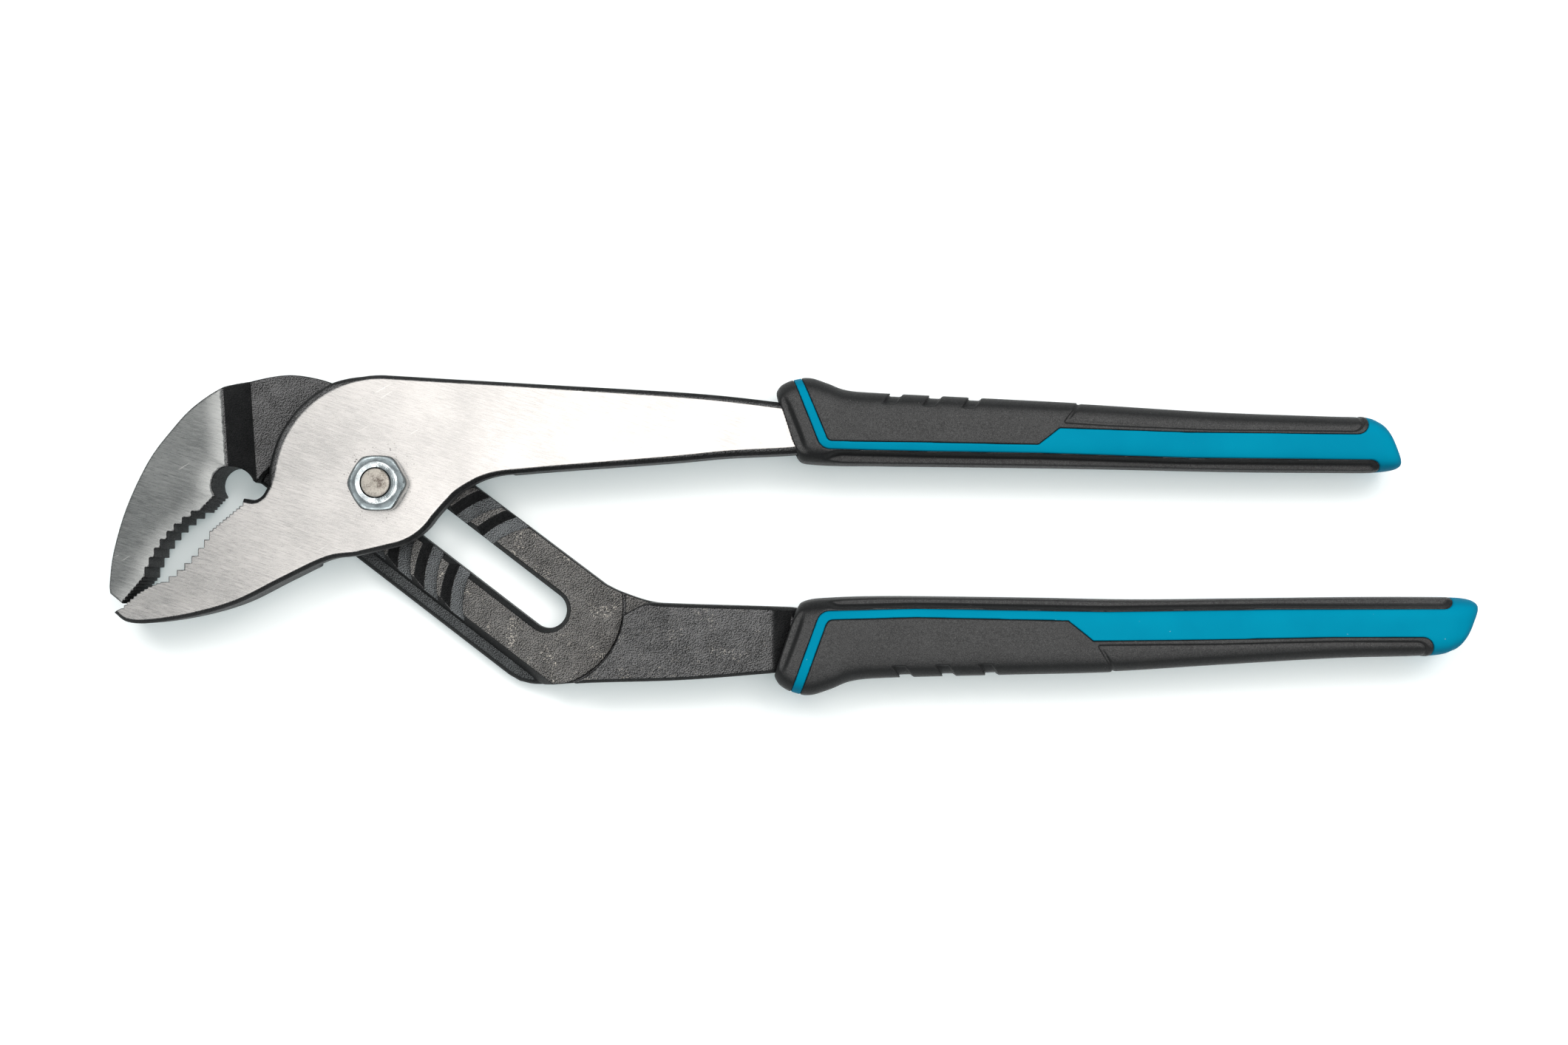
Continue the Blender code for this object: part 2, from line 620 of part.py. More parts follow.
class Grip:
    # One handle grip: a hard core with a soft collar and palm strip, and a soft finger pad

    def __init__(self, name, table, origin, side, blank):
        self.name = name
        self.sections = stretch(table["sections"], table, (0, 2))
        self.pad_line = stretch(table["pad"], table)
        self.collar_line = stretch(table["collar"], table)
        self.notch_starts = table["notch_x"] + np.arange(NOTCHES) * table["notch_pitch"]
        self.origin = np.array(origin)
        self.side = np.array([1, side])
        self.blank = blank

    def place(self, points):
        return self.origin + np.array(points) * self.side

    def body(self, name, inset=0, first=0, last=None, pull=0):
        # Solid through the grip's sections, drawn in by an inset
        sections = spline(self.sections[first:last], 2)
        turn = np.radians(np.arange(0, 360, 18))
        wide = np.sign(np.cos(turn)) * np.abs(np.cos(turn)) ** (2 / GRIP_SQUARENESS)
        tall = np.sign(np.sin(turn)) * np.abs(np.sin(turn)) ** (2 / GRIP_SQUARENESS)
        rings = []
        for section in sections:
            outer, inner, half = section[:2], section[2:4], section[4] - inset
            reach = (outer - inner) / 2
            reach *= 1 - inset / hypot(*reach)
            flat = self.place((outer + inner) / 2 + wide[:, None] * reach)
            rings.append(np.column_stack([flat, Z_GRIP + tall * half]))
        rings[0][:, 0] += pull
        return solid(name, rings)

    def region(self, name, line, around, gap):
        lead = line[0] + (line[0] - line[1]) * 3
        points = outline(self.place(np.vstack([lead, line, around])))
        return prism(name, grow(points, gap), Z_BELOW, Z_ABOVE)

    def pad_region(self, gap):
        return self.region("pad_region", self.pad_line, [(self.pad_line[-1, 0], FAR / 8)], gap)

    def collar_region(self, gap):
        line = self.collar_line
        around = [(line[-1, 0], -FAR / 8), (0, -FAR / 8), (0, line[0, 1])]
        return self.region("collar_region", line, around, gap)

    def notches(self):
        # Slanted notches of even depth across the outer edge of the finger pad
        tools = []
        high = FAR / 8
        for x in self.notch_starts:
            low = np.interp(x, *self.sections[:, :2].T) - NOTCH_LENGTH
            lean = NOTCH_LEAN / NOTCH_LENGTH * (high - low)
            right = x + NOTCH_WIDTH
            corners = [(x, low), (right, low), (right + lean, high), (x + lean, high)]
            tool = prism("notch", outline(self.place(corners)), Z_BELOW, Z_ABOVE)
            tools.append(cut(tool, self.body("notch_floor", NOTCH_DEPTH)))
        return tools

    def make_pad(self):
        pad = common(self.body(self.name + "_pad"), self.pad_region(0))
        cut(pad, self.body("inside", SKIN, 2, -2))
        for tool in self.notches():
            cut(pad, tool)
        return cut(pad, self.blank(RUNNING_GAP))

    def make_collar(self):
        collar = common(self.body(self.name + "_collar"), self.collar_region(0))
        cut(collar, self.body("inside", SKIN, 2, -2))
        return cut(collar, self.blank(RUNNING_GAP))

    def make_core(self):
        core = self.body(self.name + "_core")
        cut(core, self.pad_region(MOULD_GAP))
        cut(core, self.collar_region(MOULD_GAP))
        join(core, self.body("inside", SKIN + MOULD_GAP, 2, -2, MOULD_GAP))
        return cut(core, self.blank(RUNNING_GAP))


def main():
    for old in list(bpy.data.objects):
        bpy.data.objects.remove(old)
    bodies = {}
    for name in ("rear_body", "pivot_slide", "front_hinge"):
        bodies[name] = bpy.data.objects.new(name, None)
        bpy.context.collection.objects.link(bodies[name])
    bodies["pivot_slide"].parent = bodies["rear_body"]
    bodies["front_hinge"].parent = bodies["pivot_slide"]

    black_steel = material("black_steel", (0.055, 0.055, 0.058), 0.55, 0.7)
    bright_steel = material("bright_steel", (0.62, 0.61, 0.59), 0.34, 1.0)
    zinc = material("zinc", (0.66, 0.70, 0.72), 0.28, 1.0)
    teal = material("teal_plastic", (0.0, 0.33, 0.50), 0.42, 0.0)
    rubber = material("black_rubber", (0.035, 0.035, 0.037), 0.75, 0.0)

    finish(make_rear_lever(), black_steel, bodies["rear_body"])
    finish(make_front_lever(), bright_steel, bodies["front_hinge"])
    finish(make_pivot_bolt(), zinc, bodies["pivot_slide"])
    finish(make_pivot_nut(), zinc, bodies["pivot_slide"])
    upper = Grip("upper_grip", UPPER_GRIP, (0, 0), 1, front_blank)
    lower = Grip("lower_grip", LOWER_GRIP, LAST, -1, rear_blank)
    for grip, parent in ((upper, bodies["front_hinge"]), (lower, bodies["rear_body"])):
        finish(grip.make_core(), teal, parent)
        finish(grip.make_collar(), rubber, parent)
        finish(grip.make_pad(), rubber, parent)


main()
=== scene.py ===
# Groove-joint water pump pliers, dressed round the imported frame.
# Shapes are worked out in millimetres and stored in metres.

import bpy
import bmesh
import numpy as np
from math import acos, asin, cos, degrees, hypot, radians, sin
from mathutils import Matrix, Vector


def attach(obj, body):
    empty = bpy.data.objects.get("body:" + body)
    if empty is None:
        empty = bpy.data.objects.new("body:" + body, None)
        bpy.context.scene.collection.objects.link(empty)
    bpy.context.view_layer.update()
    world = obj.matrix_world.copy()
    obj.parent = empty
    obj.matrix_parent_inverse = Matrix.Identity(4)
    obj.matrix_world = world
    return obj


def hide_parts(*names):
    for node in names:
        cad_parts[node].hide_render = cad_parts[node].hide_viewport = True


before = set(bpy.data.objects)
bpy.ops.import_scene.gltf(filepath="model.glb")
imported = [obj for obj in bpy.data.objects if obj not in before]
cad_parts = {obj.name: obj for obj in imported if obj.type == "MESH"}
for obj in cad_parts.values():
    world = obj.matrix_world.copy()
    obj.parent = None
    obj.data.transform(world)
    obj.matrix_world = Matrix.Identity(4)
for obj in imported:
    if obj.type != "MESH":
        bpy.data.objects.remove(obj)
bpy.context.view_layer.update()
mm = 0.001


class Settings(dict):
    # A dictionary also read by name, as in s.edge
    __getattr__ = dict.__getitem__


levels = Settings(back=2.4, joint=8.4, hub=8.7, raised=13.0, front=14.4, grip=8.3)
fits = Settings(clearance=0.5, tongue=0.3, sleeve=0.3, tangHalf=3.0, tangEdge=0.3)
slotLine = Settings(angle=-37.5, pitch=7.3, positions=7, halfWidth=4.0, overrun=1.3)
along = np.array([cos(radians(slotLine.angle)), sin(radians(slotLine.angle))])
leftward = np.array([along[1], -along[0]])
travel = slotLine.pitch * (slotLine.positions - 1)
lastPivot = along * travel
print("frame loaded:", ", ".join(sorted(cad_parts)))


def curveThrough(knots, steps=6):
    # Smooth curve through the knots: cubic pieces, each slope half the step between the neighbours
    knots = np.array(knots, float)
    ends = np.vstack([2 * knots[0] - knots[1], knots, 2 * knots[-1] - knots[-2]])
    t = np.linspace(0, 1, steps, endpoint=False)[:, None, None]
    start, end = ends[1:-2], ends[2:-1]
    slopeIn, slopeOut = (end - ends[:-3]) / 2, (ends[3:] - start) / 2
    points = (2 * t**3 - 3 * t**2 + 1) * start + (t**3 - 2 * t**2 + t) * slopeIn
    points = points + (3 * t**2 - 2 * t**3) * end + (t**3 - t**2) * slopeOut
    return np.vstack([points.transpose(1, 0, 2).reshape(-1, knots.shape[1]), knots[-1:]])


def arcPoints(center, radius, start, stop, count):
    # Circle at even angles: the center plus the radius times cosine and sine
    turn = np.radians(np.linspace(start, stop, count))
    return np.array(center) + radius * np.column_stack([np.cos(turn), np.sin(turn)])


def filleted(points):
    # A point with a third value becomes an arc of that radius that touches both its lines
    made = []
    for before, point, after in zip(points[-1:] + points[:-1], points, points[1:] + points[:1]):
        spot = np.array(point[:2])
        if len(point) == 2:
            made.append(spot[None])
            continue
        back, ahead = np.array(before[:2]) - spot, np.array(after[:2]) - spot
        back, ahead = back / hypot(*back), ahead / hypot(*ahead)
        inward, across = (back + ahead) / hypot(*(back + ahead)), (ahead - back) / hypot(*(ahead - back))
        half = acos(back @ inward)
        turn = np.linspace(half - np.pi / 2, np.pi / 2 - half, 9)[:, None]
        middle = spot + inward * point[2] / sin(half)
        made.append(middle + point[2] * (across * np.sin(turn) - inward * np.cos(turn)))
    return np.vstack(made)


def slotPoint(distance, left):
    # Place at one distance along the slot and another to the left of it
    return along * distance + leftward * left


def gridLine(row):
    # One rising line of grid stops; the row gives an end, a step, the next end and so on
    spans = zip(row[::2], row[1::2], row[2::2])
    stops = [np.arange(start, stop - step / 2, step) for start, step, stop in spans]
    return np.concatenate(stops + [row[-1:]]).astype(np.float32)


def edgeField(points, xs, ys):
    # Distance to a closed line of points over the grid, negative inside it by the crossing rule
    a = np.asarray(points, np.float32)
    b = np.roll(a, -1, axis=0)
    run = b - a
    lengthSquared = np.maximum((run**2).sum(1), 1e-9)
    rise = np.where(np.abs(run[:, 1]) < 1e-9, 1e-9, run[:, 1])
    field = np.empty((len(xs), len(ys)), np.float32)
    y = ys[None, :, None]
    for rows in np.array_split(np.arange(len(xs)), max(1, len(xs) // 12)):
        x = xs[rows][:, None, None]
        dx, dy = x - a[:, 0], y - a[:, 1]
        t = np.clip((dx * run[:, 0] + dy * run[:, 1]) / lengthSquared, 0, 1)
        far = np.sqrt(((dx - t * run[:, 0]) ** 2 + (dy - t * run[:, 1]) ** 2).min(2))
        crossed = ((a[:, 1] <= y) != (b[:, 1] <= y)) & (dx < dy * run[:, 0] / rise)
        field[rows] = np.where(crossed.sum(2) % 2 == 1, -far, far)
    return field[:, :, None]


def keepBoth(a, b, radius):
    # Common part of two fields, its edge rounded by the radius
    out = np.hypot(np.maximum(a + radius, 0), np.maximum(b + radius, 0))
    return np.minimum(np.maximum(a, b), -radius) + out


def cutAway(body, tool, radius):
    # Common part of the body and the tool turned inside out
    return keepBoth(body, -tool, radius)


def skinOf(field, stops):
    # Net of the surface where a field is zero: in each crossed cell the mean of its edge crossings
    inside = field < 0
    count = sum(inside[a:a - 1 or None, b:b - 1 or None, c:c - 1 or None].astype(np.int8)
                for a, b, c in np.ndindex(2, 2, 2))
    active = (count > 0) & (count < 8)
    cell = np.nonzero(active)
    index = np.full(active.shape, -1, np.int32)
    index[cell] = np.arange(len(cell[0]))
    total = np.zeros((len(cell[0]), 3))
    hits = np.zeros(len(cell[0]))
    for axis, first, second in np.ndindex(3, 2, 2):
        low = np.roll((0, first, second), axis)
        at = [cell[n] + low[n] for n in range(3)]
        far = list(at)
        far[axis] = at[axis] + 1
        a, b = field[tuple(at)], field[tuple(far)]
        crossed = (a < 0) != (b < 0)
        t = np.where(crossed, a / np.where(crossed, a - b, 1), 0)
        place = [stops[n][at[n]].astype(float) for n in range(3)]
        place[axis] += t * (stops[axis][far[axis]] - stops[axis][at[axis]])
        total += np.where(crossed[:, None], np.column_stack(place), 0)
        hits += crossed
    points = total / hits[:, None]
    quads = []
    for axis in range(3):
        u, v = (axis + 1) % 3, (axis + 2) % 3
        inner = [slice(1, -1)] * 3
        inner[axis] = slice(None, -1)
        outer = list(inner)
        outer[axis] = slice(1, None)
        starts = inside[tuple(inner)]
        at = np.nonzero(starts != inside[tuple(outer)])
        rising = starts[at]
        corners = []
        for du, dv in ((0, 0), (1, 0), (1, 1), (0, 1)):
            spot = list(at)
            spot[u] = at[u] + du
            spot[v] = at[v] + dv
            corners.append(index[tuple(spot)])
        ring = np.column_stack(corners)
        quads.append(np.where(rising[:, None], ring, ring[:, ::-1]))
    return points, np.vstack(quads)


def slopeAt(field, stops, points):
    # Outward direction of a field at points: central differences at the eight grid corners, blended
    low, share = [], []
    for n in range(3):
        spot = np.clip(np.searchsorted(stops[n], points[:, n]) - 1, 1, len(stops[n]) - 3)
        low.append(spot)
        share.append(np.clip((points[:, n] - stops[n][spot]) / (stops[n][spot + 1] - stops[n][spot]), 0, 1))
    slope = np.zeros((len(points), 3))
    for corner in np.ndindex(2, 2, 2):
        at = [low[n] + corner[n] for n in range(3)]
        weight = np.prod([share[n] if corner[n] else 1 - share[n] for n in range(3)], 0)
        for n in range(3):
            ahead, behind = list(at), list(at)
            ahead[n] = at[n] + 1
            behind[n] = at[n] - 1
            step = stops[n][ahead[n]] - stops[n][behind[n]]
            slope[:, n] += weight * (field[tuple(ahead)] - field[tuple(behind)]) / step
    return slope / np.maximum(np.linalg.norm(slope, axis=1), 1e-9)[:, None]


def linked(name, mesh):
    # New object in the scene for a mesh, lamp or camera
    made = bpy.data.objects.new(name, mesh)
    bpy.context.scene.collection.objects.link(made)
    return made


def newMesh(name, points, faces):
    # A mesh from whole arrays of points and faces
    mesh = bpy.data.meshes.new(name)
    mesh.from_pydata(points, [], faces)
    mesh.update()
    return mesh


def thinned(mesh, share):
    # Collapses edges where the surface is smooth, down to a share of the faces
    spare = linked("spare", mesh)
    thin = spare.modifiers.new("thin", "DECIMATE")
    thin.ratio = share
    result = bpy.data.meshes.new_from_object(spare.evaluated_get(bpy.context.evaluated_depsgraph_get()))
    bpy.data.objects.remove(spare)
    return result


def shadeByField(mesh, field, stops):
    # Corner directions from the field, and exact ones on level faces
    points = np.empty(len(mesh.vertices) * 3)
    mesh.vertices.foreach_get("co", points)
    slope = slopeAt(field, stops, points.reshape(-1, 3))
    corner = np.empty(len(mesh.loops), np.int32)
    mesh.loops.foreach_get("vertex_index", corner)
    sides = np.empty(len(mesh.polygons), np.int32)
    mesh.polygons.foreach_get("loop_total", sides)
    faceWay = np.empty(len(mesh.polygons) * 3)
    mesh.polygons.foreach_get("normal", faceWay)
    faceWay = np.repeat(faceWay.reshape(-1, 3), sides, axis=0)
    ways = np.where(np.abs(faceWay[:, 2:]) > 0.9999, faceWay, slope[corner])
    mesh.shade_smooth()
    mesh.normals_split_custom_set(ways)


def pieceFromField(name, field, stops, triangles):
    # Net of the field, thinned where it is flat, then shaded by the field's own slope
    field = field.astype(np.float32)
    points, quads = skinOf(field, stops)
    mesh = thinned(newMesh(name, points, quads), triangles / (2 * len(quads)))
    mesh.name = name
    shadeByField(mesh, field, stops)
    mesh.transform(Matrix.Scale(mm, 4))
    piece = linked(name, mesh)
    mesh.calc_loop_triangles()
    print("made", name, len(mesh.loop_triangles), "triangles from", 2 * len(quads))
    return piece


# Front lever: lower jaw, hub and polished shank
frontLever = Settings(
    jawBack=[(-56.9, -27.5), (-54.5, -29.2), (-49.7, -29.4), (-40.3, -27.9), (-30.9, -25.1), (-21.3, -20.3),
        (-11.7, -15.8), (-5.3, -14.8)],
    shankLower=[(13.9, -3.9), (17.1, -0.9), (23.5, 2.2), (33.1, 3.4), (61.9, 5.5), (75.4, 6.7), (90.9, 7.5),
        (98, 9.2)],
    shankUpper=[(98, 15.4), (87.1, 16.9), (68.3, 18.9), (36.2, 20.8), (13.8, 22.1)],
    throat=[(-23.6, -0.6), (-25.1, -3.1), (-27.3, -4.3), (-30, -3.9)],
    tip=(-55.6, -26.2),
    tang=[(90, 9.2), (199, 6.6), (202, 8.6), (199, 10.8), (90, 15.4)],
    hubTop=22.9, hubLow=13.2, shankStart=28, shankThickness=10,
    bore=4.3, grooveRadius=17.6, openAngle=42, tongueSpan=32,
    draft=0.8, draftHeight=1.2, edge=0.09, bandArc=(100, 183), bandExtra=0.9,
    bandFade=(16, 10), shankInset=0.55, insetStart=30, insetRun=65,
    tongueBack=14, tongueWidth=2.3,
    teeth=[((-56.2, -26.7), (-47.8, -21), -0.8, 0.9), ((-47.8, -21), (-37.2, -9.9), 1, 2.3),
        ((-37.2, -9.9), (-30, -3.9), 0, 0.9)],
    mouthAway=[(-30, 10), (-70, 10), (-70, -34.2)],
    tipGap=0.3, triangles=150000,
    grid=[(-60, 0.16, -28, 0.25, 30, 0.6, 104, 2.5, 205), (-31.5, 0.16, 1, 0.25, 25),
        (1.9, 0.25, 4.9, 0.4, 6.1, 0.25, 9.1, 0.6, 12.8, 0.13, 14.9)],
)


def mouthField(lever, xs, ys, shift=0, finer=None):
    # Space between the jaws, bounded by stairs along bowed stretches: each step goes level to the next
    # crest, then upright
    crests = []
    for start, end, bow, pitch in lever.teeth:
        start, run = np.array(start), np.array(end) - np.array(start)
        t = np.linspace(0, 1, max(1, round(hypot(*run) / (finer or pitch))) + 1)[:-1, None]
        side = np.array([run[1], -run[0]]) / hypot(*run)
        crests.append(start + t * run + 4 * bow * t * (1 - t) * side)
    crests = np.vstack(crests + [lever.teeth[-1][1]]) + shift
    corners = np.column_stack([crests[1:, 0], crests[:-1, 1]])
    stairs = np.stack([crests[:-1], corners], 1).reshape(-1, 2)
    return edgeField(np.vstack([stairs, crests[-1:], lever.mouthAway]), xs, ys)


def frontOutline():
    # Curves of jaw back and shank, joined by arcs of the hub, then throat and tip
    s = frontLever
    return np.vstack([
        curveThrough(s.jawBack), arcPoints((0, 0), s.hubLow, -78, -32, 14),
        curveThrough(s.shankLower), curveThrough(s.shankUpper),
        arcPoints((0, 0), s.hubTop, 88, 174, 34), curveThrough(s.throat), [s.tip],
    ])


def draftOf(z, low, high):
    # How far the wall stands out below each face: a quarter wave over the draft's height
    depth = np.clip(np.minimum(high - z, z - low) / frontLever.draftHeight, 0, 1)
    return frontLever.draft * np.sin(depth * np.pi / 2)


def frontBlankField(xs, ys, zs):
    # Drafted plate between the two faces, thinner at the back of the shank, with the tang;
    # the draft is wider round the upper left of the hub and towards the grip
    s = frontLever
    x, y, z = np.ix_(xs, ys, zs)
    around = np.degrees(np.arctan2(y, x))
    wide = np.clip((around - s.bandArc[0]) / s.bandFade[0], 0, 1)
    wide = wide * np.clip((s.bandArc[1] - around) / s.bandFade[1], 0, 1)
    inset = s.shankInset * np.clip((x - s.insetStart) / s.insetRun, 0, 1)
    more = 1 + s.bandExtra * wide + inset / s.draft
    side = edgeField(frontOutline(), xs, ys) + inset - draftOf(z, levels.back, levels.front) * more
    body = keepBoth(side, np.maximum(z - levels.front, levels.back - z), s.edge)
    under = levels.front - s.shankThickness
    body = cutAway(body, np.maximum(s.shankStart - x, z - under), 0.4)
    return np.minimum(body, tangField(np.array(s.tang), xs, ys, z))


def tangField(points, xs, ys, z):
    # The flat tongue inside a grip: its outline between two levels
    return keepBoth(edgeField(points, xs, ys), np.abs(z - levels.grip) - fits.tangHalf, fits.tangEdge)


def makeFrontLever():
    # Blank less the room for the plate, plus the tongue, less bore and teeth
    s = frontLever
    stops = xs, ys, _ = [gridLine(row) for row in s.grid]
    x, y, z = np.ix_(*stops)
    body = frontBlankField(*stops)
    # Room behind the hub for the slotted plate, from closed to fully open
    reach = rearLever.plateLeft + fits.clearance
    turn = -radians(s.openAngle)
    opened = np.array([leftward[0] * cos(turn) - leftward[1] * sin(turn),
                       leftward[0] * sin(turn) + leftward[1] * cos(turn)])
    corner = np.linalg.solve(np.array([leftward, opened]), np.array([reach, reach]))
    relief = [corner, corner + 100 * np.array([-opened[1], opened[0]]), (s.shankStart, -100),
              (s.shankStart, 100), (-100, 100), corner - 100 * along]
    room = np.maximum(edgeField(relief, xs, ys), z - levels.hub)
    body = cutAway(body, room, 0.3)
    # Tongue: a ring segment about the pivot, sloped on its outer side
    rho = np.hypot(x, y)
    inner = s.grooveRadius + fits.tongue
    low = levels.joint - rearLever.grooveDepth + fits.tongue
    start = slotLine.angle + 180 + degrees(asin(s.tongueBack / inner)) - s.openAngle
    a, b = radians(start), radians(start + s.tongueSpan)
    ends = np.maximum(x * sin(a) - y * cos(a), y * cos(b) - x * sin(b))
    wall = np.maximum(inner - rho, rho - (inner + s.tongueWidth + np.minimum(z, levels.hub) - low))
    tongue = keepBoth(keepBoth(wall, ends, 0.25), np.maximum(low - z, z - levels.hub - 1), 0.25)
    body = -keepBoth(-body, -tongue, 0.2)  # Union, its corner filled
    body = cutAway(body, rho - s.bore, 0.2)
    shift = np.array([s.tipGap, -s.tipGap])
    body = cutAway(body, mouthField(s, xs, ys, shift), 0.06)
    return pieceFromField("frontLeverForging", body, stops, s.triangles)


# Rear lever: upper jaw, slotted plate with arc grooves, raised shank
rearLever = Settings(
    jawBack=[(-58.5, -23.8), (-58.6, -21.4), (-57.8, -14.7), (-55, -4.9), (-50.3, 5.1), (-45.2, 12),
        (-40.6, 16.9), (-34.3, 21.1), (-27.9, 23.2), (-21.2, 24.2), (-15, 23.4), (-9.3, 21.6)],
    tip=(-55.6, -26.2),
    shankUpper=[(13.8, 4.8), (17.2, 3.2), (23.7, 1.1), (30.5, 0.6), (50.4, 0), (56.3, -0.4), (63.3, -2)],
    shankLower=[(63.3, -12.6), (56.3, -14.1), (50.4, -14.5), (30.6, -16), (10.6, -16.6), (-1, -17.3),
        (-5.5, -16.6)],
    tang=[(55, -12.6), (178, -6.8), (181, -4.6), (178, -2.4), (55, -2.4)],
    plateLeft=16.9, plateHeel=3, plateStart=-23.8,
    jawDraft=0.26, draftStart=-34, draftRun=10, sink=0.01,
    faceRoll=0.3, rollWidth=4.6, rollEnd=-26, sweptArc=(-74, -6),
    stepSpace=5.1, stepLean=4, stepRun=5,
    landEdge=12.1, ledgeSlope=1.7, ledgeDepth=3.3, ledgeRound=2, ledgeStart=-22.6,
    grooveFloor=2.9, grooveSlope=2.2, grooveDepth=2.2, groovePull=0.71, grooveBack=7,
    slotBevel=1.05, reliefLine=0.34, reliefInset=0.12, slopeStart=50, slopeRun=7.6, slopeDrop=5.4,
    throatCenter=(-32.6, -0.1), throatRadius=3.9,
    teeth=[((-35.2, -2.2), (-38.8, -6), 0, 0.9), ((-38.8, -6), (-50.8, -20.4), 1.7, 2.3),
        ((-50.8, -20.4), (-56.2, -26.7), 0, 0.9)],
    mouthAway=[(-56.2, -40), (-30, -40), (-30, -4), (-32.6, -0.1)],
    gumPitch=0.2, edge=0.09, triangles=180000,
    grid=[(-60, 0.16, -28, 0.25, 60, 0.6, 92, 2.5, 219), (-45.5, 0.25, -28.6, 0.16, 1, 0.25, 26),
        (1.9, 0.25, 3.9, 0.4, 5.5, 0.17, 8.9, 0.5, 12.2, 0.15, 14.9)],
)


def rearOutline():
    # Curves of jaw back and both shank edges, then the straight left edge of the plate
    s = rearLever
    return np.vstack([
        [s.tip], curveThrough(s.jawBack), lastPivot + curveThrough(s.shankUpper),
        lastPivot + curveThrough(s.shankLower), [slotPoint(travel + s.plateHeel, s.plateLeft)],
        [slotPoint(s.plateStart, s.plateLeft)],
    ])


def rearBlankField(xs, ys, zs):
    # Drafted plate between the two faces; the shank is lower and slopes down before the grip
    s = rearLever
    x, _, z = np.ix_(xs, ys, zs)
    start = lastPivot[0] + s.slopeStart
    down = s.slopeDrop * np.clip((x - start) / s.slopeRun, 0, 1)
    top = np.where(x < 0, levels.front, levels.raised - down)
    grown = np.clip((x - s.draftStart) / s.draftRun, 0, 1)
    draft = s.jawDraft + (frontLever.draft - s.jawDraft) * grown
    side = edgeField(rearOutline(), xs, ys) + draft + s.sink
    side = side - draftOf(z, levels.back, top) * draft / frontLever.draft
    body = keepBoth(side, np.maximum(z - top, levels.back - z), s.edge)
    return np.minimum(body, tangField(lastPivot + np.array(s.tang), xs, ys, z))


